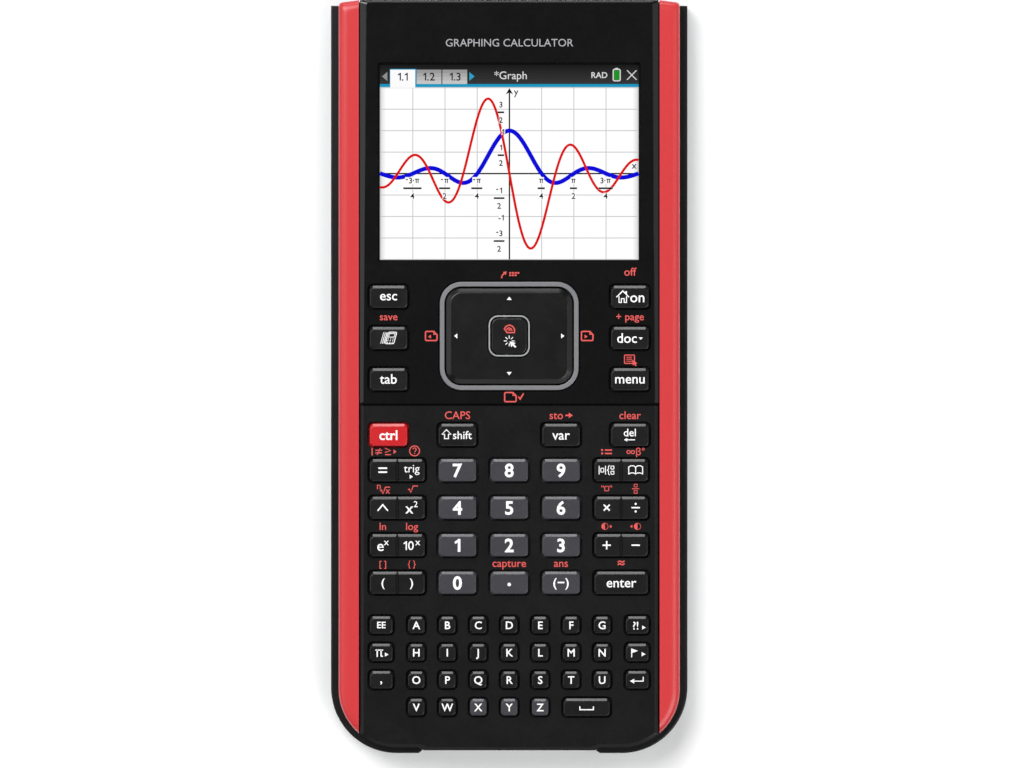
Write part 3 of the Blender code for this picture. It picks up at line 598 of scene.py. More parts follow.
def faceplate():
    """The glossy plate round the display, the touchpad and the navigation keys."""
    low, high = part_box("upper_faceplate")
    low, high = low / MM, high / MM
    low.y -= 0.15  # down to a fine line above the keypad field
    width, height = high.x - low.x, high.y - low.y
    middle_y = (low.y + high.y) / 2

    def outline(reach):
        """The plate drawn in along its sides, more at the top than at the seam."""
        points = rounded(0, middle_y, width, height - 0.6 * reach, 0.7, 4)
        taper = [0.8 + 0.8 * (y - low.y) / height for _, y in points]
        return [(x * (1 - by * reach / width * 2), y) for (x, y), by in zip(points, taper)]

    edge = [(PLATE_TOP - drop, outline(reach)) for drop, reach in ((0.48, 0), (0.06, 0.9), (0, 1.05))]
    plate = loft("faceplate", [(low.z, outline(0)), *edge])
    low_cut = low.z - 1
    cutters = [
        hole(0, SCREEN_Y, SCREEN[0] + 1.0, SCREEN[1] + 1.2, 0.5, low_cut, PLATE_TOP, steps=4),
        hole(0, PAD_Y, RING_OUTSIDE[0] + 0.6, RING_OUTSIDE[1] + 0.6, RING_CORNER + 0.3, low_cut, PLATE_TOP,
             0.15, 12),
    ]
    cutters += [key_hole(KEYS[node], low_cut, PLATE_TOP) for node in UPPER_KEYS]
    combine(plate, "DIFFERENCE", joined("cutters", cutters))
    return piece(plate, "faceplate", "case", BLACK_GLOSS, "gloss_black", ["upper_faceplate"], CRISP)


def side_rail(name, side):
    """A coloured rail: a crowned top beside the face, and an outer leg down to the cover's groove."""
    node = f"side_rail_{name}"
    # how far down, and how far in
    rounding = [
        (1.5, 0), (1.15, 0.08), (0.85, 0.22), (0.6, 0.42), (0.4, 0.66), (0.25, 0.95), (0.13, 1.3),
        (0.05, 1.75), (0, 2.4),
    ]
    sections = [(RAIL_TOP - drop, body_outline(inset)) for drop, inset in rounding]
    rail = loft(node, [(GROOVE_TOP, body_outline(0.15)), (GROOVE_TOP + 0.15, body_outline()), *sections])
    edge = side * RAIL_INSIDE
    middle = box("middle", sorted((edge, -side * BODY_WIDTH)), (-2 * TOP_Y, 2 * TOP_Y), (0, ABOVE))
    under = prism("under", body_outline(GROOVE_DEPTH - GAP), 0, LEDGE + GAP)
    combine(rail, "DIFFERENCE", middle, under)
    return piece(rail, f"rail_{name}", "case", RED_RAIL, "rail_red", [node])


def cover_shell():
    """The tray-shaped cover: rounded walls hooked into the body's grooves, and grip ribs underneath."""
    base = [(drop, cover_outline(inset)) for drop, inset in reversed(edge_rounding(1.3))]
    rim = [(COVER_RIM - drop, cover_outline(inset)) for drop, inset in edge_rounding(0.45)]
    cover = loft("cover_shell", [*base, *rim])
    walls = open_at_top(body_outline(-0.2))
    lips = open_at_top(body_outline(0.8))
    hollow = prism("hollow", walls, COVER_PLATE, BACK_TOP + GAP)
    mouth = prism("mouth", lips, COVER_PLATE + 1, COVER_RIM * 2)
    gap = DOCK_HALF + 0.4
    dock_gap = box("dock_gap", (-gap, gap), (-190, BODY_BOTTOM_Y + 3), (COVER_PLATE, COVER_RIM * 2))
    ribs = []
    for i in range(5):
        y, length = -72 - 2.2 * i, 26 - 2 * i
        wide, narrow = rounded(0, y, length, 1.0, 0.49), rounded(0, y, length - 0.5, 0.5, 0.24)
        ribs.append(loft("rib", [(-1, wide), (0.35, narrow)]))
    combine(cover, "DIFFERENCE", hollow, mouth, dock_gap, joined("ribs", ribs))
    return piece(cover, "cover_shell", "cover", BLACK_COVER, "cover_black", ["slide_cover"])


# ---- Display ---------------------------------------------------------------------------------
SCREEN_LEFT, SCREEN_RIGHT = -SCREEN[0] / 2, SCREEN[0] / 2
SCREEN_TOP, SCREEN_BOTTOM = SCREEN_Y + SCREEN[1] / 2, SCREEN_Y - SCREEN[1] / 2
STATUS_BAR = 5.55  # its height, with the coloured line under it
PANEL = 14.55  # level of the display's picture
PAPER_GLOW = 1.12
LAYER = 0.012  # between the picture's layers
FILM = LAYER * 0.8  # thickness of the picture's shapes
WHITE, BLACK = (1.0, 1.0, 1.0), (0.004, 0.004, 0.005)


def flat(outline, level):
    """A thin flat shape in the picture."""
    return prism("flat", outline, level, level + FILM)


def bar(x0, y0, x1, y1, level):
    """A thin rectangle in the picture, from corner to corner."""
    return flat([(x0, y0), (x1, y0), (x1, y1), (x0, y1)], level)


def block(x, y, half_width, half_height, level):
    """A thin rectangle in the picture, round its middle."""
    return bar(x - half_width, y - half_height, x + half_width, y + half_height, level)


def left_of(a, b):
    """The unit vector square to the line from a to b, on its left."""
    dx, dy = b[0] - a[0], b[1] - a[1]
    length = math.hypot(dx, dy) or 1.0
    return Vector((-dy / length, dx / length))


def stroke(points, width, level, thickness=FILM, closed=False):
    """A line of even width through points, with mitred corners, as a flat ribbon."""
    count = len(points)
    sharpest = 0.3  # how far a mitre may reach out
    left, right = [], []
    for i, point in enumerate(points):
        sides = []
        if closed or i:
            sides.append(left_of(points[i - 1], point))
        if closed or i < count - 1:
            sides.append(left_of(point, points[(i + 1) % count]))
        mitre = sum(sides, Vector((0, 0))) / len(sides)
        mitre *= width / 2 / max(mitre.length_squared, sharpest)
        left.append((point[0] + mitre.x, point[1] + mitre.y))
        right.append((point[0] - mitre.x, point[1] - mitre.y))
    upper = level + thickness
    shape = bmesh.new()
    rows = [
        [shape.verts.new((x * MM, y * MM, z * MM)) for x, y in side]
        for side, z in ((left, level), (right, level), (right, upper), (left, upper))
    ]
    for i in range(count if closed else count - 1):
        for a, b in ((0, 1), (1, 2), (2, 3), (3, 0)):
            after = (i + 1) % count
            shape.faces.new((rows[a][i], rows[b][i], rows[b][after], rows[a][after]))
    if not closed:
        for i in (0, -1):
            shape.faces.new([row[i] for row in rows])
    bmesh.ops.recalc_face_normals(shape, faces=shape.faces)
    mesh = bpy.data.meshes.new("stroke")
    shape.to_mesh(mesh)
    shape.free()
    return put("stroke", mesh)


def loop(outline, width, level, thickness=FILM):
    """A closed line of even width."""
    return stroke(outline, width, level, thickness, closed=True)


def text(body, x, y, height, level, bold=0.0, thickness=FILM, align="CENTER"):
    """Lettering as flat shapes. height is a capital's height, and y is the middle of a capital."""
    capital = 0.693  # of the built-in font's size
    curve = bpy.data.curves.new("text", "FONT")
    curve.body = body
    curve.size = height / capital * MM
    curve.align_x = align
    curve.offset = bold * MM
    curve.extrude = thickness / 2 * MM
    curve.resolution_u = 3
    obj = put("text", curve)
    obj.matrix_world = Matrix.Translation((x * MM, (y - height / 2) * MM, (level + thickness / 2) * MM))
    bpy.context.view_layer.update()
    made = put("text", evaluated_mesh(obj))
    made.matrix_world = obj.matrix_world.copy()
    bpy.data.objects.remove(obj)
    return made


def gathered(name, body, material, slot, shapes):
    """Flat shapes on one body, as one piece."""
    obj = joined(name, shapes)
    obj.data.materials.append(material)
    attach(obj, body)


def glow(name, colour, strength, shapes):
    """Shapes of one colour in the display's picture, as one piece."""
    gathered(name, "case", lit(f"lit_{name}", colour, strength), "display_light", shapes)


def screen_sheet(name, size, low, top, bevel):
    """A flat sheet round the screen's middle, with its upper rim bevelled."""
    corner = 0.8
    whole = rounded(0, SCREEN_Y, size.x, size.y, corner)
    crown = rounded(0, SCREEN_Y, size.x - 2 * bevel, size.y - 2 * bevel, corner - bevel)
    return loft(name, [(low, whole), (top - bevel, whole), (top, crown)])


def display():
    """The display module with its glass, the picture on it, and the clear window above."""
    middle, size = box_mm("lcd_module")
    low = middle.z - size.z / 2
    module = screen_sheet("display_module", size, low, low + 2.3, 0.2)
    glass = prism("glass", rounded(0, SCREEN_Y, 67.0, 50.8, 0.3), low + 1.5, low + 2.9)
    combine(module, "UNION", glass)
    piece(module, "display_module", "case", BLACK_GLOSS, "display_light", ["lcd_module"])
    middle, size = box_mm("display_lens")
    top = middle.z + size.z / 2
    lens = screen_sheet("display_window", size, top - size.z, top, 0.1)
    piece(lens, "display_window", "case", CLEAR, "lens_clear", ["display_lens"])
    picture()


def picture():
    """A function plotter's screen: a status bar with page tabs, two curves on a ruled graph, and painted
    shade along both sides of the graph.
    """
    bar_bottom = SCREEN_TOP - STATUS_BAR
    level = PANEL
    paper = bar(SCREEN_LEFT, SCREEN_BOTTOM, SCREEN_RIGHT, bar_bottom, level)
    glow("screen_paper", WHITE, PAPER_GLOW, [paper])
    bands = 8
    for i in range(bands):
        low = bar_bottom + STATUS_BAR * i / bands
        grey = 0.042 - 0.030 * i / (bands - 1)
        band = bar(SCREEN_LEFT, low, SCREEN_RIGHT, low + STATUS_BAR / bands, level)
        glow(f"screen_bar_{i + 1}", (grey, grey, grey * 1.04), 1.0, [band])
    up = level + LAYER
    # Painted shade: three grey steps along both sides of the picture stand for the shadow that the window's
    # rim casts on the display.
    reach = 0.45  # width of each step of the shade along both sides
    for i, grey in enumerate((0.72, 0.84, 0.93)):
        near, far = i * reach, (i + 1) * reach
        glow(f"screen_painted_rim_shade_{i + 1}", (grey, grey, grey), 1.1, [
            bar(SCREEN_LEFT + near, SCREEN_BOTTOM, SCREEN_LEFT + far, bar_bottom, up),
            bar(SCREEN_RIGHT - far, SCREEN_BOTTOM, SCREEN_RIGHT - near, bar_bottom, up),
        ])
    axis_x, axis_y = 0.05, SCREEN_TOP - 27.35
    grid_x, grid_y = 8.12, 5.41
    up += LAYER
    line = 0.11  # half a grid line's width
    steps = [i for i in range(-4, 5) if i]  # the middle ones are the axes
    columns, rows = [axis_x + i * grid_x for i in steps], [axis_y + i * grid_y for i in steps]
    lines = [bar(x - line, SCREEN_BOTTOM, x + line, bar_bottom, up) for x in columns]
    lines += [bar(SCREEN_LEFT, y - line, SCREEN_RIGHT, y + line, up + LAYER / 4) for y in rows]
    glow("screen_grid", (0.62, 0.62, 0.63), 1.0, lines)
    up += 1.5 * LAYER
    line = 0.18  # half an axis's width
    tip, notch, barb = bar_bottom - 0.25, bar_bottom - 1.35, bar_bottom - 1.85
    arrowhead = [(axis_x, tip), (axis_x - 0.95, barb), (axis_x, notch), (axis_x + 0.95, barb)]
    glow("screen_axes", BLACK, 1.0, [
        bar(SCREEN_LEFT, axis_y - line, SCREEN_RIGHT, axis_y + line, up),
        bar(axis_x - line, SCREEN_BOTTOM, axis_x + line, bar_bottom - 0.6, up + LAYER / 4),
        flat(arrowhead, up + LAYER / 2),
    ])
    graph_curves(axis_x, axis_y, grid_x, grid_y, up + LAYER)
    graph_labels(axis_x, axis_y, grid_x, grid_y, up + 3 * LAYER, bar_bottom)
    status_bar(bar_bottom, level + LAYER)


def arrow(x, y, dx, size, level):
    """A filled triangle that points along X."""
    half, back = 0.85 * size, x - dx * size / 2
    return flat([(x + dx * size / 2, y), (back, y + dx * half), (back, y - dx * half)], level)


def pi_sign(x, y, size, level):
    """A plain pi, as wide as it is high."""
    weight = 0.21 * size
    half = size / 2
    return [
        bar(x - half, y + half - weight, x + half, y + half, level),
        bar(x - 0.3 * size, y - half, x - 0.3 * size + weight, y + half - weight, level + LAYER / 5),
        bar(x + 0.12 * size, y - half, x + 0.12 * size + weight, y + half - weight, level + LAYER / 5),
    ]


def graph_labels(axis_x, axis_y, grid_x, grid_y, level, bar_bottom):
    """The axis names, and fractions along both axes on small blank patches."""
    height, bold = 1.4, 0.035  # of the figures
    under_ink = level - LAYER
    marks = [
        text("x", SCREEN_RIGHT - 1.1, axis_y + 2.1, 1.7, level, 0.02),
        text("y", axis_x + 1.7, bar_bottom - 1.1, 1.75, level, 0.02),
    ]
    patches = []

    def number(body, x, y):
        marks.extend(figures(body, x, y, height, level, bold, FILM))

    def fraction(over, under, x, y, width):
        """over is a string of signs: a minus, figures, a dot or a pi. width is the bar's."""
        spaces = {"-": 0.9, ".": 0.5, "π": 1.35}
        half_total = sum(spaces.get(sign, 0.95) for sign in over) / 2
        at, row = x - half_total, y + 1.95
        for sign in over:
            space = spaces.get(sign, 0.95)
            middle = at + space / 2
            if sign == "-":
                marks.append(block(middle, row + 0.24, 0.25, 0.14, level))
            elif sign == ".":
                marks.append(block(middle, row + 0.03, 0.15, 0.15, level))
            elif sign == "π":
                marks.extend(pi_sign(middle, row - 0.1, 1.1, level))
            else:
                number(sign, middle, row)
            at += space
        marks.append(block(x, y, width / 2, 0.22, level))
        number(under, x, y - 1.95)
        patches.append(block(x, row, half_total, 0.85, under_ink))
        patches.append(block(x, y, width / 2 + 0.1, 0.3, under_ink))
        patches.append(block(x, y - 1.95, 0.6, 0.85, under_ink))

    below = 3.7  # from the x axis to its fractions' bars
    for i, over, under, width in ((1, "π", "4", 1.8), (2, "π", "2", 1.8), (3, "3.π", "4", 3.6)):
        fraction(over, under, axis_x + i * grid_x - 0.1, axis_y - below, width)
        fraction("-" + over, under, axis_x - i * grid_x - 0.1, axis_y - below, width + 1.0)
    drop = 0.78  # of a fraction's bar below its own grid line
    for i, over in ((1, "1"), (3, "3")):
        fraction(over, "2", axis_x - 2.15, axis_y + i * grid_y - drop, 1.65)
        fraction("-" + over, "2", axis_x - 2.6, axis_y - i * grid_y - drop, 2.7)
    for i, sign, x in ((2, "1", axis_x - 1.6), (-2, "-1", axis_x - 2.1)):
        y = axis_y + i * grid_y - 0.3
        number(sign, x, y)
        patches.append(block(x, y, 0.5, 0.8, under_ink))
    glow("screen_patches", WHITE, PAPER_GLOW, patches)
    glow("screen_labels", BLACK, 1.0, marks)


def graph_curves(axis_x, axis_y, grid_x, grid_y, level):
    """sin(4x)/4x, thick and blue, with its derivative's curve, thin and red."""
    unit_x, unit_y = grid_x / (math.pi / 4), grid_y / 0.5
    blue, red = [], []
    steps = 520
    for i in range(steps + 1):
        x = SCREEN_LEFT + SCREEN[0] * i / steps
        value = (x - axis_x) / unit_x
        if abs(value) < 1e-4:
            sinc, slope = 1.0, 0.0
        else:
            sinc = math.sin(4 * value) / (4 * value)
            slope = (4 * value * math.cos(4 * value) - math.sin(4 * value)) / (4 * value * value)
        blue.append((x, axis_y + sinc * unit_y))
        red.append((x, axis_y + slope * unit_y))
    glow("screen_blue_curve", (0.002, 0.002, 0.76), 1.0, [stroke(blue, 1.08, level)])
    glow("screen_red_curve", (0.79, 0.004, 0.004), 1.0, [stroke(red, 0.62, level + LAYER)])


def status_bar(bottom, level):
    """Page tabs, the document's name, the angle unit, the battery and the close mark."""
    line_top = bottom + 0.78
    tab_top = SCREEN_TOP - 1.15
    middle = (line_top + tab_top) / 2 + 0.1
    first, width = SCREEN_LEFT + 2.5, 6.5
    glow("screen_line", (0.008, 0.34, 0.58), 1.0, [
        bar(SCREEN_LEFT, bottom, SCREEN_RIGHT, line_top, level),
        bar(first, line_top, first + width + 0.2, tab_top + 0.2, level + LAYER / 2),
    ])
    tab = bar(first + 0.1, bottom - 0.2, first + width - 0.1, tab_top, level + 1.6 * LAYER)
    glow("screen_active_tab", WHITE, 1.08, [tab])
    bands = 4
    step = (tab_top - line_top) / bands
    for i in range(bands):
        grey = 0.62 - 0.09 * i
        low = line_top + step * i
        glow(f"screen_tabs_{i + 1}", (grey, grey, grey), 1.0, [
            bar(first + width * n + 0.25, low, first + width * (n + 1), low + step, level + LAYER / 4)
            for n in (1, 2)
        ])
    up = level + 3 * LAYER
    numbers = []
    for i in range(3):
        centre = first + width * (i + 0.5) + 0.1 * i
        numbers += figures(f"1.{i + 1}", centre, middle - 0.05, 1.95, up, 0.03, FILM)
    glow("screen_tab_numbers", (0.01, 0.01, 0.012), 1.0, numbers)
    glow("screen_arrow_off", (0.30, 0.30, 0.31), 1.0, [arrow(SCREEN_LEFT + 1.2, middle, -1, 1.35, up)])
    glow("screen_arrow_on", (0.03, 0.38, 0.62), 1.0, [arrow(first + 3 * width + 1.2, middle, 1, 1.3, up)])
    close_x, reach = 30.9, 1.2
    battery_x, high = 27.1, middle + 0.35
    left, right = close_x - reach, close_x + reach
    glow("screen_words", (0.78, 0.78, 0.78), 1.0, [
        text("*Graph", 0.4, middle + 0.3, 1.95, up, 0.01),
        text("RAD", 22.7, high, 1.45, up, 0.03),
        stroke([(left, high - reach), (right, high + reach)], 0.24, up),
        stroke([(left, high + reach), (right, high - reach)], 0.24, up + LAYER / 5),
        loop(rounded(battery_x, high, 1.75, 2.9, 0.35, 3), 0.3, up),
        block(battery_x, high + 1.65, 0.35, 0.15, up),
    ])
    glow("screen_battery", (0.01, 0.34, 0.015), 1.0, [block(battery_x, high, 0.6, 1.15, up)])


# ---- Keys ------------------------------------------------------------------------------------
# how far down, and how far in at the +Y edge and at the other edges
CAP_EDGE = (
    (0.52, 0.0, 0.0), (0.44, 0.04, 0.01), (0.39, 0.09, 0.02), (0.15, 0.5, 0.06), (0.05, 0.67, 0.26),
    (0.015, 0.73, 0.3), (0.0, 0.79, 0.34),
)


def crowned_cap(name, x, y, width, height, top, foot, corner=KEY_CORNER, scale=1.0):
    """A key cap with a broad sloping facet along its +Y edge, and a fine one along the others."""
    draft = 0.05
    width, height = width - 0.3, height - 0.16  # the caps stand clear of their holes
    rows = [(foot, rounded(x, y, width + draft, height + draft, corner + draft / 2))]
    for drop, front, rim in CAP_EDGE:
        front, rim = front * scale, rim * scale
        w, h = width - 2 * rim, height - front - rim
        rows.append((top - drop, rounded(x, y - (front - rim) / 2, w, h, corner - 0.5 * rim)))
    return loft(name, rows)


def key_finish(node):
    """A key's material and its slot."""
    name = node.removeprefix("key_")
    if name in (*"0123456789", "point", "sign"):
        return GREY_KEY, "key_grey"
    if name == "ctrl":
        return RED_KEY, "key_red"
    return BLACK_KEY, "key_black"


def single_keys():
    """Each separate key's cap, on its own body."""
    for node in [node for node in KEYS if node.startswith("key_")]:
        x, y, width, height, top = KEYS[node]
        cap = crowned_cap(node, x, y, width, height, top, top - 2.9)
        add_foot(cap, x, y, width, height, node)
        piece(cap, node.replace("key_", "cap_"), node, *key_finish(node), [node], CRISP)


def add_foot(cap, x, y, width, height, node):
    """The hidden flange that keeps the cap in its hole."""
    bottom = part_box(node)[0].z / MM
    thick = 0.7 if node.startswith("double") else 0.8
    corner = KEY_CORNER + FLANGE
    outline = rounded(x, y, width + 2 * FLANGE, height + 2 * FLANGE, corner, 3)
    combine(cap, "UNION", prism("foot", outline, bottom, bottom + thick))


def double_caps():
    """The rocking keys, with a shallow valley between their halves."""
    wall = [(0.16, -0.45), (0.2, -0.2), (0.44, 0.01), (0.7, 1)]  # its right side, from the middle of the top
    for node in [node for node in KEYS if node.startswith("double_key_")]:
        x, y, width, height, top = KEYS[node]
        cap = crowned_cap(node, x, y, width, height, top, top - 3.0)
        add_foot(cap, x, y, width, height, node)
        right = [(x + dx, top + dz) for dx, dz in wall]
        left = [(x - dx, top + dz) for dx, dz in reversed(wall)]
        combine(cap, "DIFFERENCE", upright("valley", [*left, *right], y - 6, y + 6))
        name = node.removeprefix("double_key_")
        piece(cap, f"cap_{name}", f"double_{name}", *key_finish(node), [node], CRISP)


def letter_caps():
    """The small keys, each its own piece, and the strip under each row."""
    for number, row in LETTERS.items():
        node = f"letter_keys_row_{number}"
        body = f"letters_{number}"
        low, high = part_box(node)
        low, high = low / MM, high / MM
        middle, size = (low + high) / 2, high - low
        strip = prism("strip", rounded(middle.x, middle.y, size.x, size.y, 1.0, 3), low.z, low.z + 0.8)
        piece(strip, f"letter_strip_{number}", body, BLACK_KEY, "key_black", [node])
        for place, (x, y, width, height, top) in enumerate(row, 1):
            cap = crowned_cap("cap", x, y, width, height, top, low.z + 0.75, LETTER_CORNER, 0.95)
            lighter = number == 4 and place in (3, 4, 5)
            material, slot = (GREY_KEY, "key_grey") if lighter else (BLACK_KEY, "key_black")
            piece(cap, f"letter_cap_{number}_{place}", body, material, slot, (), CRISP)


# ---- Touchpad --------------------------------------------------------------------------------
def ring_solid(name, outside, inside, low, top, rim):
    """A flat ring with rounded rims. outside and inside take an inset and give an outline."""
    crown = [(top - drop, outside(inset)) for drop, inset in edge_rounding(rim, 3)]
    outer = loft(name, [(low, outside(0)), *crown])
    inner = loft("inner", [
        (low - 1, inside(0)), (top - rim, inside(0)), (top - rim * 0.4, inside(-rim * 0.3)),
        (top, inside(-rim)), (top + 1, inside(-rim)),
    ])
    return combine(outer, "DIFFERENCE", inner)


def touchpad():
    """The trim ring, the dished pad, the click ring and the click button."""
    width, height = RING_OUTSIDE

    def outside(inset):
        return rounded(0, PAD_Y, width - 2 * inset, height - 2 * inset, RING_CORNER - inset, 12)

    def inside(inset):
        return outside(RING_WIDTH + inset)

    ring = ring_solid("ring", outside, inside, DECK_TOP + GAP, RING_TOP, 0.22)
    piece(ring, "touchpad_trim", "case", RING_GREY, "ring_grey", ["touchpad_ring"])

    def pad_edge(inset):
        return outside(RING_WIDTH + GAP + inset)

    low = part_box("touchpad_plate")[0].z / MM
    slope = [(PAD_TOP - 0.75, 0.0), (PAD_TOP - 0.62, 0.08), (PAD_TOP - 0.04, 1.2), (PAD_TOP, 1.4)]
    pad = loft("pad", [(low, pad_edge(0)), *[(level, pad_edge(inset)) for level, inset in slope]])
    opening = CLICK_RING + 0.5
    combine(pad, "DIFFERENCE", hole(0, PAD_Y, opening, opening, CLICK_CORNER + 0.25, 10, PAD_TOP))
    piece(pad, "touchpad_surface", "pad", PAD_BLACK, "case_black", ["touchpad_plate"], CRISP)

    def click_outside(inset):
        size = CLICK_RING - 2 * inset
        return rounded(0, PAD_Y, size, size, CLICK_CORNER - inset)

    def click_inside(inset):
        return click_outside(CLICK_RING_WIDTH + inset)

    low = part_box("click_ring")[0].z / MM
    trim = ring_solid("trim", click_outside, click_inside, low, PAD_TOP + 0.15, 0.12)
    piece(trim, "click_trim", "click", TRIM_GREY, "ring_grey", ["click_ring"])

    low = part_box("click_button")[0].z / MM
    dish = [(PAD_TOP - drop, click_inside(GAP + inset)) for drop, inset in edge_rounding(0.35)]
    button = loft("button", [(low, click_inside(GAP)), *dish])
    piece(button, "click_surface", "click", BLACK_KEY, "case_black", ["click_button"])


# ---- Ports -----------------------------------------------------------------------------------
def ports():
    """The USB socket and the status light in the top edge, and the dock contacts in the bottom edge."""
    middle, size = box_mm("usb_port")
    front, back = middle.y - size.y / 2, middle.y + size.y / 2
    shell = upright("usb_shell", rounded(0, middle.z, size.x, size.z, 1.1), front, back)
    bore = upright("bore", rounded(0, middle.z, size.x - 0.7, size.z - 0.7, 0.85), front + 1, back + 2)
    combine(shell, "DIFFERENCE", bore)
    piece(shell, "usb_shell", "case", STEEL, "steel", ["usb_port"])
    blade = rounded(0, middle.z, size.x - 3.6, 0.95, 0.2, 3)
    tongue = upright("usb_tongue", blade, front + 0.5, back - 1.6)
    piece(tongue, "usb_tongue", "case", BLACK_SATIN, "case_black")
    contacts = [
        box("contact", (x - 0.22, x + 0.22), (back - 5.5, back - 1.9), (middle.z + 0.45, middle.z + 0.55))
        for x in [0.8 * i for i in range(-2, 3)]
    ]
    piece(joined("usb_contacts", contacts), "usb_contacts", "case", GOLD, "steel")

    middle, size = box_mm("status_led")
    outline = rounded(middle.x, middle.z, size.x, size.z, 0.7)
    light = upright("status_light", outline, middle.y - size.y / 2, middle.y + size.y / 2)
    piece(light, "status_light", "case", LED_GREEN, "led_green", ["status_led"])

    middle, size = box_mm("dock_connector")
    front, back = middle.y - size.y / 2, middle.y + size.y / 2
    low, high = middle.z - size.z / 2, middle.z + size.z / 2
    dock = upright("dock_block", rounded(0, middle.z, size.x, size.z, 0.6), front, back)
    places = [2.2 * i for i in range(-5, 6)]
    slots = [
        upright("slot", rounded(x, middle.z, 0.8, size.z - 1.6, 0.25, 3), front - 1, front + 0.6)
        for x in places
    ]
    combine(dock, "DIFFERENCE", joined("slots", slots))
    piece(dock, "dock_block", "case", BLACK_SATIN, "case_black", ["dock_connector"])
    pins = [
        box("pin", (x - 0.25, x + 0.25), (front + 0.25, front + 0.7), (low + 1.2, high - 1.2))
        for x in places
    ]
    piece(joined("dock_contacts", pins), "dock_contacts", "case", GOLD, "steel")


# ---- Legends ---------------------------------------------------------------------------------
INK = 0.02  # thickness of the printed legends


def ink(name, body, material, slot, shapes):
    """Printed shapes on one body, as one piece."""
    step = 0.0015  # keeps shapes that cross from sharing a face
    for i, shape in enumerate(shapes):
        shape.matrix_world = Matrix.Translation((0, 0, i % 7 * step * MM)) @ shape.matrix_world
    gathered(name, body, material, slot, shapes)


def figure_one(y, height, level, weight, thickness):
    """A figure one with its flag, from x = 0. Returns its shapes and its width."""
    stem, foot, crown = 0.26 * height, y - height / 2, y + height / 2
    fold, tip = stem + weight * 0.4, y + height * 0.27
    outlines = [
        [(stem, foot), (stem + weight, foot), (stem + weight, crown), (stem, crown)],
        [(fold, crown), (0, tip), (weight * 0.35, tip - weight * 0.75), (fold, y + height * 0.28)],
    ]
    return [prism("one", outline, level, level + thickness) for outline in outlines], stem + weight


def figures(body, x, y, height, level, bold, thickness=INK):
    """Lettering set figure by figure about x, so that each one has its flag."""
    space = 0.13 * height
    made, widths = [], []
    for sign in body:
        if sign == "1":
            shapes, width = figure_one(y, height, level, 0.13 * height + 2 * bold, thickness)
            shift = 0.0
        else:
            shapes = [text(sign, 0, y, height, level, bold, thickness, "LEFT")]
            corners = [(shapes[0].matrix_world @ v.co).x / MM for v in shapes[0].data.vertices]
            shift, width = -min(corners), max(corners) - min(corners)
        made.append((shapes, shift))
        widths.append(width)
    at = x - (sum(widths) + space * (len(body) - 1)) / 2
    for (shapes, shift), width in zip(made, widths):
        for shape in shapes:
            shape.matrix_world = Matrix.Translation(((at + shift) * MM, 0, 0)) @ shape.matrix_world
        at += width + space
    return [shape for shapes, _ in made for shape in shapes]


class Pen:
    """Makes printed shapes on one level. Their places are measured from the pen's own point."""

    def __init__(self, x, y, level):
        self.x, self.y, self.level = x, y, level

    def moved(self, dx, dy=0.0):
        return Pen(self.x + dx, self.y + dy, self.level)

    def at(self, points):
        return [(self.x + x, self.y + y) for x, y in points]

    def line(self, points, width, lift=0.0):
        return stroke(self.at(points), width, self.level + lift, INK)

    def dash(self, left, right, y, width):
        """A line across."""
        return self.line([(left, y), (right, y)], width)

    def post(self, x, low, high, width, lift=0.0):
        """A line up."""
        return self.line([(x, low), (x, high)], width, lift)

    def closed(self, points, width):
        return loop(self.at(points), width, self.level, INK)

    def frame(self, x, y, width, height, corner, line):
        return self.closed(rounded(x, y, width, height, corner, 3), line)

    def fill(self, points, lift=0.0):
        return prism("fill", self.at(points), self.level + lift, self.level + INK)

    def dot(self, x, y, radius, sides):
        return self.fill(circle(x, y, radius, sides))

    def triangle(self, x, y, dx, dy, size, wide=0.55):
        """A filled triangle round (x, y) that points along (dx, dy)."""
        tip, foot, side = size * 0.6, size * 0.4, size * wide
        return self.fill([
            (x + dx * tip, y + dy * tip),
            (x - dx * foot - dy * side, y - dy * foot + dx * side),
            (x - dx * foot + dy * side, y - dy * foot - dx * side),
        ])

    def words(self, body, x, y, height, bold=0.025):
        return text(body, self.x + x, self.y + y, height, self.level, bold, INK)

    def figures(self, body, x, y, height, bold):
        return figures(body, self.x + x, self.y + y, height, self.level, bold)


def on(node):
    """A pen on a key's top, at the cap's middle."""
    x, y, _, _, top = KEYS[node]
    return Pen(x, y, top)


def beside(node):
    """A pen on the face round a key, at the cap's middle."""
    x, y, *_ = KEYS[node]
    return Pen(x, y, PLATE_TOP if node in UPPER_KEYS else FIELD_TOP)


def white(node, shapes):
    """White legends on one key."""
    name = node.replace("double_key_", "").replace("key_", "")
    body = node.replace("double_key_", "double_")
    ink(f"legend_{name}", body, WHITE_INK, key_finish(node)[1], shapes)


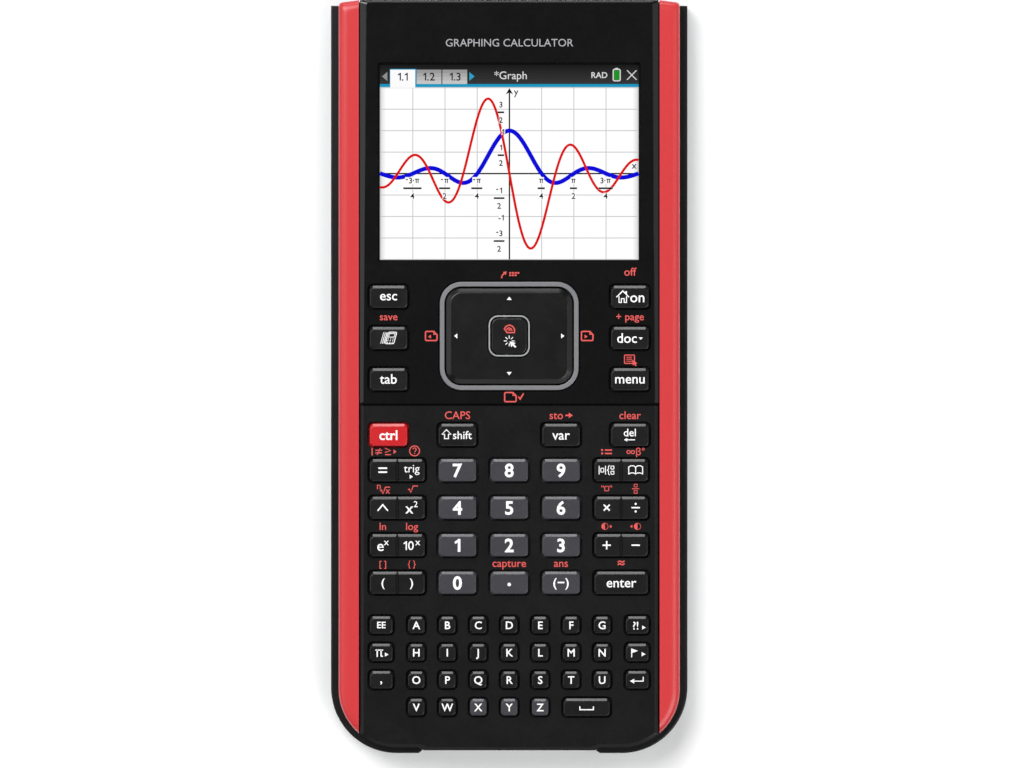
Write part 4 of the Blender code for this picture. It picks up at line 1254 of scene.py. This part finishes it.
def key_legends():
    """White legends on the separate keys."""
    for name in "0123456789":
        white(f"key_{name}", on(f"key_{name}").figures(name, 0, -0.05, 3.25, 0.12))
    white("key_point", [on("key_point").dot(0, -0.45, 0.45, 24)])
    pen = on("key_sign")
    brackets = [pen.words(sign, x, 0.05, 2.1, 0.06) for sign, x in (("(", -1.6), (")", 1.6))]
    white("key_sign", [*brackets, pen.dash(-0.85, 0.85, 0.05, 0.38)])
    rises = {"esc": 0.3, "tab": 0.1, "ctrl": -0.05, "var": 0, "enter": 0.05, "menu": 0.15}
    for name, rise in rises.items():
        bold = 0.06 if name == "ctrl" else 0.025
        white(f"key_{name}", [on(f"key_{name}").words(name, 0, rise, 2.4, bold)])
    pen = on("key_doc")
    white("key_doc", [pen.words("doc", -0.75, 0, 2.4), pen.triangle(2.75, -0.1, 0, -1, 0.65, 0.75)])
    pen = on("key_shift")
    up = [(-0.5, -1.0), (0.5, -1.0), (0.5, 0.1), (1.15, 0.1), (0, 1.25), (-1.15, 0.1), (-0.5, 0.1)]
    white("key_shift", [pen.words("shift", 1.2, -0.05, 2.0, 0.015), pen.moved(-2.75, 0.05).closed(up, 0.24)])
    pen = on("key_del")
    arrow_left = [pen.dash(-0.8, 1.3, -1.25, 0.24), pen.triangle(-1.0, -1.25, -1, 0, 0.8)]
    white("key_del", [pen.words("del", 0, 0.6, 1.9, 0.02), *arrow_left])
    pen = on("key_on")
    white("key_on", [*house(pen.moved(-1.8)), pen.words("on", 1.9, -0.1, 2.55, 0.03)])
    white("key_scratchpad", scratch_icon(on("key_scratchpad")))


def house(pen):
    """A house with a door and a chimney."""
    half = [(0.95, 0.1), (0.95, -1.45), (0.35, -1.45), (0.35, -0.5)]
    walls = [*half, *[(-x, y) for x, y in reversed(half)]]
    chimney = [(0.62, 0.9), (1.05, 0.5), (1.05, 1.35), (0.62, 1.35)]
    roof = [(-1.6, -0.15), (0, 1.45), (1.6, -0.15)]
    return [pen.line(walls, 0.24), pen.line(roof, 0.28), pen.fill(chimney)]


def scratch_icon(pen):
    """A leaning little calculator with three strokes of speed behind it."""
    def lean(points):
        return [(x + 0.28 * y, y) for x, y in points]

    screen = [(-0.05, 0.2), (1.35, 0.2), (1.35, 1.1), (-0.05, 1.1)]
    shapes = [pen.closed(lean(rounded(0.65, 0, 2.1, 2.9, 0.3, 2)), 0.2), pen.closed(lean(screen), 0.16)]
    for i in range(3):
        for j in range(3):
            shapes.append(pen.fill(lean(circle(0.62 * i, -0.25 - 0.45 * j, 0.13, 8))))
    for i in range(3):
        x = -0.75 - 0.42 * i
        shapes.append(pen.line(lean([(x, -1.4), (x, 1.4)]), 0.2 - 0.03 * i))
    return shapes


def double_legends():
    """A legend on each half of the rocking keys."""
    for name, labels in {
        "equals_trig": ("=", "trig"), "power_square": ("^", "x²"), "exp_tenpower": ("e", "10"),
        "brackets": ("(", ")"), "template_catalog": ("template", "book"), "times_divide": ("×", "÷"),
        "plus_minus": ("+", "−"),
    }.items():
        pen = on(f"double_key_{name}")
        left, right = [half_legend(label, pen.moved(x)) for label, x in zip(labels, (-HALF_KEY, HALF_KEY))]
        white(f"double_key_{name}", [*left, *right])


def half_legend(label, pen):
    """What is printed on one half of a rocking key."""
    if label == "trig":
        return [pen.words("trig", 0, 0.45, 2.0, 0.0), pen.triangle(-0.2, -1.65, 1, 0, 0.8, 0.65)]
    if label == "^":
        return [pen.line([(-1.3, -0.8), (0, 0.75), (1.3, -0.8)], 0.34)]
    if label == "x²":
        return [pen.words("x", -0.6, -0.1, 2.7, 0.02), pen.words("2", 1.0, 0.9, 1.5, 0.01)]
    if label == "e":
        return [pen.words("e", -0.6, -0.1, 2.7, 0.02), pen.words("x", 0.9, 0.85, 1.7, 0.01)]
    if label == "10":
        return [*pen.figures("10", -0.8, -0.1, 2.2, 0.015), pen.words("x", 1.5, 0.85, 1.7, 0.01)]
    if label == "template":
        return template_icon(pen)
    if label == "book":
        return book_icon(pen)
    if label == "×":
        reach = 0.75
        rising, falling = [(-reach, -reach), (reach, reach)], [(-reach, reach), (reach, -reach)]
        return [pen.line(rising, 0.36), pen.line(falling, 0.36, 0.001)]
    if label == "÷":
        dots = [pen.dot(0, y, 0.28, 12) for y in (-0.95, 0.95)]
        return [*dots, pen.dash(-1.05, 1.05, 0, 0.34)]
    if label == "+":
        return [pen.dash(-1.05, 1.05, 0, 0.36), pen.post(0, -1.05, 1.05, 0.36, 0.001)]
    if label == "−":
        return [pen.dash(-1.05, 1.05, 0, 0.36)]
    if label == "=":
        return [pen.dash(-1.1, 1.1, y, 0.4) for y in (-0.5, 0.5)]
    return [pen.words(label, 0, 0.05, 2.0, 0.04)]


def template_icon(pen):
    """A frame between two bars, and a brace with two frames."""
    upper = [(0.75, 1.2), (0.45, 0.95), (0.45, 0.25)]
    brace = [*upper, (0.15, 0), *[(x, -y) for x, y in reversed(upper)]]
    return [
        pen.post(-1.9, -1.1, 1.1, 0.2), pen.post(-0.3, -1.1, 1.1, 0.2),
        pen.frame(-1.1, 0, 0.75, 0.95, 0.08, 0.2), pen.line(brace, 0.2),
        pen.frame(1.45, 0.65, 0.75, 0.75, 0.08, 0.2), pen.frame(1.45, -0.65, 0.75, 0.75, 0.08, 0.2),
    ]


def book_icon(pen):
    """An open book."""
    page = [
        (0, -0.95), (0, 0.75), (0.5, 1.1), (1.2, 1.1), (1.75, 0.8), (1.75, -0.95), (1.2, -0.7), (0.5, -0.7),
    ]
    return [pen.closed([(side * x, y) for x, y in page], 0.24) for side in (-1, 1)]


def letter_legends():
    """White capitals and signs on the small keys."""
    rows = {
        1: ["EE", *"ABCDEFG", "?!"], 2: ["π", *"HIJKLMN", "flag"],
        3: [",", *"OPQRSTU", "return"], 4: [*"VWXYZ", "space"],
    }
    for number, labels in rows.items():
        shapes = []
        for label, (x, y, _, _, top) in zip(labels, LETTERS[number]):
            shapes += small_legend(label, Pen(x, y - 0.15, top))
        ink(f"legend_letters_{number}", f"letters_{number}", WHITE_INK, "key_black", shapes)


def small_legend(label, pen):
    """What is printed on one small key."""
    if label == "flag":
        cloth = [(-1.4, 1.1), (-1.4, -0.05), (0.2, 0.52)]
        return [pen.post(-1.4, -1.1, 1.1, 0.24), pen.fill(cloth), pen.triangle(1.5, -0.3, 1, 0, 1.0)]
    if label == "return":
        hook = [(1.5, 0.9), (1.5, -0.2), (-0.9, -0.2)]
        return [pen.line(hook, 0.24), pen.triangle(-1.2, -0.2, -1, 0, 1.1)]
    if label == "space":
        return [pen.line([(-1.7, 0.35), (-1.7, -0.5), (1.7, -0.5), (1.7, 0.35)], 0.28)]
    if label == "?!":
        return [pen.words("?!", -0.4, 0, 1.95, 0.03), pen.triangle(1.6, -0.5, 1, 0, 0.9)]
    if label == "π":
        return [pen.words("π", -0.5, 0.2, 2.3), pen.triangle(1.3, -0.4, 1, 0, 0.9)]
    rise, height = {"EE": (0.15, 1.6), ",": (0.45, 2.2)}.get(label, (0.08, 1.9))
    return [pen.words(label, 0, rise, height, 0.04)]


def face_labels():
    """Small red second functions printed on the face above the keys."""
    shapes = []
    for label, node, x, y, height in (
        ("off", "on", 0, 6.3, 2.0), ("+ page", "doc", 0, 5.4, 1.85), ("save", "scratchpad", 0, 5.4, 1.85),
        ("CAPS", "shift", 0, 4.95, 1.95), ("clear", "del", 0, 4.95, 1.95),
        ("capture", "point", 0, 4.95, 1.95), ("ans", "sign", 0, 4.95, 1.95), ("sto", "var", -1.2, 4.95, 1.95),
    ):
        shapes.append(beside(f"key_{node}").words(label, x, y, height, 0.015))
    pen = beside("key_var").moved(0, 4.9)
    shapes += [pen.dash(1.1, 2.1, 0, 0.36), pen.triangle(2.35, 0, 1, 0, 1.0, 0.7)]
    wave = [(-0.85, -0.2), (-0.5, 0.12), (-0.15, 0.08), (0.2, -0.12), (0.5, -0.1), (0.85, 0.22)]
    shapes += [beside("key_enter").moved(0, rise).line(wave, 0.34) for rise in (4.65, 5.3)]
    shapes += menu_icon(beside("key_menu").moved(0, 5.05))
    for name, labels, rise, height, out in (
        ("exp_tenpower", ("ln", "log"), 4.75, 1.85, 0), ("brackets", ("[ ]", "{ }"), 4.75, 1.5, 0),
        ("template_catalog", ("", "∞β°"), 4.65, 1.75, 0), ("plus_minus", ("◐", "◐"), 4.7, 1.5, 0.45),
    ):
        for side, label in zip((-1, 1), labels):
            pen = beside(f"double_key_{name}").moved(side * (HALF_KEY + out), rise)
            shapes.append(pen.words(label, 0, 0, height, 0.015))
    pen = beside("double_key_plus_minus").moved(0, 4.7)
    shapes += [pen.triangle(side * (HALF_KEY - 1.05), 0, -side, 0, 0.6, 0.75) for side in (-1, 1)]
    pen = beside("double_key_template_catalog").moved(-HALF_KEY, 4.65)
    for y in (-0.45, 0.4):
        shapes += [pen.dot(-1.15, y, 0.27, 12), pen.dash(-0.45, 1.35, y, 0.34)]
    pen = beside("double_key_equals_trig")
    shapes += compare_icon(pen.moved(0.3 - HALF_KEY, 4.65)) + help_icon(pen.moved(HALF_KEY + 0.7, 4.85))
    pen = beside("double_key_power_square").moved(0, 4.6)
    shapes += root_icon(pen.moved(-HALF_KEY), True) + root_icon(pen.moved(HALF_KEY), False)
    pen = beside("double_key_times_divide").moved(-HALF_KEY, 4.8)
    shapes += [pen.post(x, 0.3, 0.8, 0.2) for x in (-1.25, -0.85, 0.85, 1.25)]
    shapes.append(pen.frame(0, 0, 1.0, 1.1, 0.1, 0.2))
    pen = pen.moved(2 * HALF_KEY, -0.05)
    shapes += [pen.frame(0, y, 0.75, 0.7, 0.08, 0.18) for y in (-0.8, 0.8)]
    shapes.append(pen.dash(-0.9, 0.9, 0, 0.22))
    ink("labels_red", "case", RED_INK, "case_black", shapes + ring_labels())
    name = Pen(0, SCREEN_TOP + 5.6, PLATE_TOP).words("GRAPHING CALCULATOR", 0, 0, 1.9, 0.0)
    ink("name_grey", "case", GREY_INK, "gloss_black", [name])


def compare_icon(pen):
    """A bar, the not-equal and the at-least signs, and a small arrow."""
    return [
        pen.post(-3.0, -0.95, 0.95, 0.3), pen.dash(-2.2, -0.5, -0.3, 0.26), pen.dash(-2.2, -0.5, 0.35, 0.26),
        pen.line([(-1.75, -0.85), (-0.95, 0.85)], 0.22, 0.002),
        pen.line([(0.25, 0.85), (1.7, 0.3), (0.25, -0.2)], 0.26), pen.dash(0.25, 1.75, -0.75, 0.26),
        pen.triangle(2.7, 0, 1, 0, 0.8, 0.7),
    ]


def help_icon(pen):
    """A question mark in a ring."""
    hook = [*arc(0, 0.35, 0.42, 170, -60, 6), (0, -0.3)]
    return [pen.closed(circle(0, 0, 1.25, 24), 0.26), pen.line(hook, 0.22), pen.dot(0, -0.65, 0.14, 8)]


def root_icon(pen, with_index):
    """A root sign, with an index and what is under it, or alone."""
    shift = 0.3 if with_index else 0.0
    sign = [(-0.95, -0.1), (-0.6, 0.1), (-0.25, -0.8), (0.35, 0.85), (1.55, 0.85)]
    shapes = [pen.moved(shift, -shift).line(sign, 0.26)]
    if with_index:
        shapes += [pen.words("n", -1.0, 0.9, 1.7, 0.01), pen.words("x", 1.25, -0.25, 1.6, 0.01)]
    return shapes


def menu_icon(pen):
    """A short list with a pointer on it."""
    pointer = [(0, 0), (0.25, -1.5), (0.55, -1.1), (0.85, -1.6), (1.15, -1.45), (0.9, -0.95), (1.35, -0.85)]
    rows = [pen.dash(-0.85, 0.55, y, 0.2) for y in (0.5, 0.0, -0.5)]
    return [pen.frame(-0.1, 0, 2.5, 2.1, 0.15, 0.26), *rows, pen.moved(0.55, -0.15).fill(pointer, 0.002)]


def ring_labels():
    """Red pictures above, below and beside the touchpad."""
    out_x, out_y = RING_OUTSIDE[0] / 2 + 2.15, RING_OUTSIDE[1] / 2 + 1.75
    pen = Pen(0, PAD_Y + out_y, PLATE_TOP)
    swing = arc(-0.2, -1.0, 1.75, 175, 115, 8)
    shapes = [pen.line(swing, 0.3), pen.triangle(-1.0, 0.55, 0.75, 0.65, 0.9, 0.6)]
    for column in range(4):
        left = 0.68 * column
        shapes.append(pen.dash(left, left + 0.52, 0.5, 0.4))
        if column < 3:
            shapes.append(pen.dash(left, left + 0.52, -0.1, 0.4))
    pen = Pen(0, PAD_Y - out_y, PLATE_TOP)
    shapes += [*page_icon(pen.moved(0.3)), pen.line([(2.3, 0.1), (2.75, -0.5), (3.6, 0.95)], 0.34)]
    for side in (-1, 1):
        pen = Pen(side * out_x, PAD_Y, PLATE_TOP)
        shapes += [*page_icon(pen), pen.triangle(-0.35, -0.15, side, 0, 0.75, 0.65)]
    return shapes


def page_icon(pen):
    """A sheet with a turned-down corner."""
    outline = [
        *arc(-1.15, 0.85, 0.3, 90, 180, 3), *arc(-1.15, -0.85, 0.3, 180, 270, 3),
        *arc(1.15, -0.85, 0.3, 270, 360, 3), (1.45, 0.3), (0.65, 1.15),
    ]
    return [pen.closed(outline, 0.34), pen.line([(0.65, 1.0), (0.65, 0.42), (1.35, 0.42)], 0.24)]


def pad_marks():
    """Four small arrows on the pad, and the pictures on the click button."""
    pen = Pen(0, PAD_Y, PAD_TOP)
    ways = ((1, 0), (-1, 0), (0, 1), (0, -1))
    arrows = [pen.triangle(dx * 13.4, dy * 9.4, dx, dy, 0.8, 0.8) for dx, dy in ways]
    ink("pad_arrows", "pad", WHITE_INK, "case_black", arrows)
    tip, rays = pen.moved(0.1, -1.35), pen.moved(0, -1.25)
    pointer = [(0, 0), (0.42, -1.5), (0.75, -1.0), (1.4, -1.65), (1.7, -1.35), (1.05, -0.7), (1.52, -0.42)]
    shapes = [tip.fill(pointer)]
    for angle in range(0, 271, 45):
        dx, dy = math.cos(math.radians(angle)), math.sin(math.radians(angle))
        shapes.append(rays.line([(0.6 * dx, 0.6 * dy), (1.35 * dx, 1.35 * dy)], 0.2))
    ink("click_pointer", "click", WHITE_INK, "case_black", shapes)
    pen = pen.moved(0, 1.7)
    fist = [
        (-0.55, -0.85), (1.3, -0.85), (1.35, 0.0), (0.85, 0.75), (0.1, 1.05), (-0.75, 0.75), (-1.25, 0.1),
        (-0.95, -0.3),
    ]
    fingers = [(-0.75, -0.1), (-0.1, 0.35), (0.45, 0.1), (0.75, -0.4)]
    thumb = [(-0.3, -0.35), (0.1, -0.1), (0.3, -0.4)]
    hand = [pen.closed(fist, 0.32), pen.line(fingers, 0.3), pen.line(thumb, 0.24)]
    ink("click_hand", "click", RED_INK, "case_black", hand)


# ---- CAD nodes that keep their shape ---------------------------------------------------------
def refinish():
    """Better materials on the CAD pieces that stay, most of them inside the case."""
    finishes = {
        "main_board": GREEN_BOARD, "touchpad_carrier": GREEN_BOARD, "keypad_membrane": SILICONE,
        "battery_pack": WRAP, "battery_cover_screw": STEEL, "reset_button": GREY_KEY,
        **{f"case_screw_{number}": STEEL for number in range(1, 5)},
    }
    for node, material in finishes.items():
        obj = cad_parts[node]
        obj.data.materials.clear()
        obj.data.materials.append(material)


# ---- Studio ----------------------------------------------------------------------------------
def area_light(name, at, size, power):
    """A soft box aimed at the object's middle. Its place and its size are in metres."""
    data = bpy.data.lights.new(name, "AREA")
    data.shape = "RECTANGLE"
    data.size, data.size_y = size
    data.energy = power
    obj = bpy.data.objects.new(name, data)
    bpy.context.scene.collection.objects.link(obj)
    obj.location = at
    obj.rotation_euler = (Vector() - Vector(at)).to_track_quat("-Z", "Y").to_euler()
    obj.visible_camera = False


def studio():
    """A pale floor, soft boxes, and the camera straight above the face."""
    scene = bpy.context.scene
    scene.view_settings.view_transform = "Standard"
    paper = Surface("floor_paper")
    away = paper.node("VectorMath", "Value", {0: paper.coords}, operation="LENGTH")
    near, far = 0.35, 2.2  # metres: between them the floor starts to glow, so that it stays pale far off
    floor_material = paper.finished({
        "Base Color": paper.blend(paper.noise(400, 4), (0.90, 0.905, 0.91, 1), (0.93, 0.935, 0.94, 1)),
        "Roughness": 0.9, "Specular IOR Level": 0.1,
        "Emission Color": (1, 1, 1, 1), "Emission Strength": paper.spread(away, 0.05, 0.97, near, far),
    })
    mesh = bpy.data.meshes.new("floor")
    half = 9.0  # metres
    corners = [(-half, -half, 0), (half, -half, 0), (half, half, 0), (-half, half, 0)]
    mesh.from_pydata(corners, [], [(0, 1, 2, 3)])
    floor = put("floor", mesh)
    floor.data.materials.append(floor_material)
    floor.location.z = -0.2 * MM
    floor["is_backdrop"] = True

    area_light("key_light", (-0.62, 0.75, 1.75), (0.9, 0.9), 27)
    area_light("fill_light", (0.8, -0.6, 1.5), (1.0, 1.0), 15)
    area_light("top_strip", (0.0, 1.3, 0.66), (0.6, 0.34), 7.1)
    area_light("left_panel", (-1.15, 0.1, 1.0), (1.4, 0.9), 4.8)
    area_light("near_panel", (0.0, -1.2, 0.95), (1.4, 0.6), 2.6)
    area_light("right_panel", (1.15, 0.1, 1.0), (1.4, 0.9), 2.8)

    world = bpy.data.worlds.new("studio")
    scene.world = world
    world.use_nodes = True
    background = world.node_tree.nodes["Background"]
    background.inputs["Color"].default_value = (0.95, 0.97, 1.0, 1)
    background.inputs["Strength"].default_value = 0.07

    data = bpy.data.cameras.new("camera")
    data.lens = 500
    data.sensor_width = 36
    data.clip_end = 20
    camera = bpy.data.objects.new("camera", data)
    scene.collection.objects.link(camera)
    width_seen = 0.258  # metres across the picture, at the level of the face
    distance = width_seen * data.lens / data.sensor_width
    camera.location = (0.0007, -0.0018, 0.017 + distance)
    camera.rotation_euler = (0, 0, 0)
    scene.camera = camera


def main():
    keypad_field()
    back_shell()
    battery_lid()
    faceplate()
    side_rail("left", -1)
    side_rail("right", 1)
    cover_shell()
    display()
    single_keys()
    double_caps()
    letter_caps()
    touchpad()
    ports()
    key_legends()
    double_legends()
    letter_legends()
    face_labels()
    pad_marks()
    refinish()
    studio()


main()

boxes = {"cad": cad_bounds, "scene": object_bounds()}
{name: [list(corner) for corner in box] for name, box in boxes.items()}
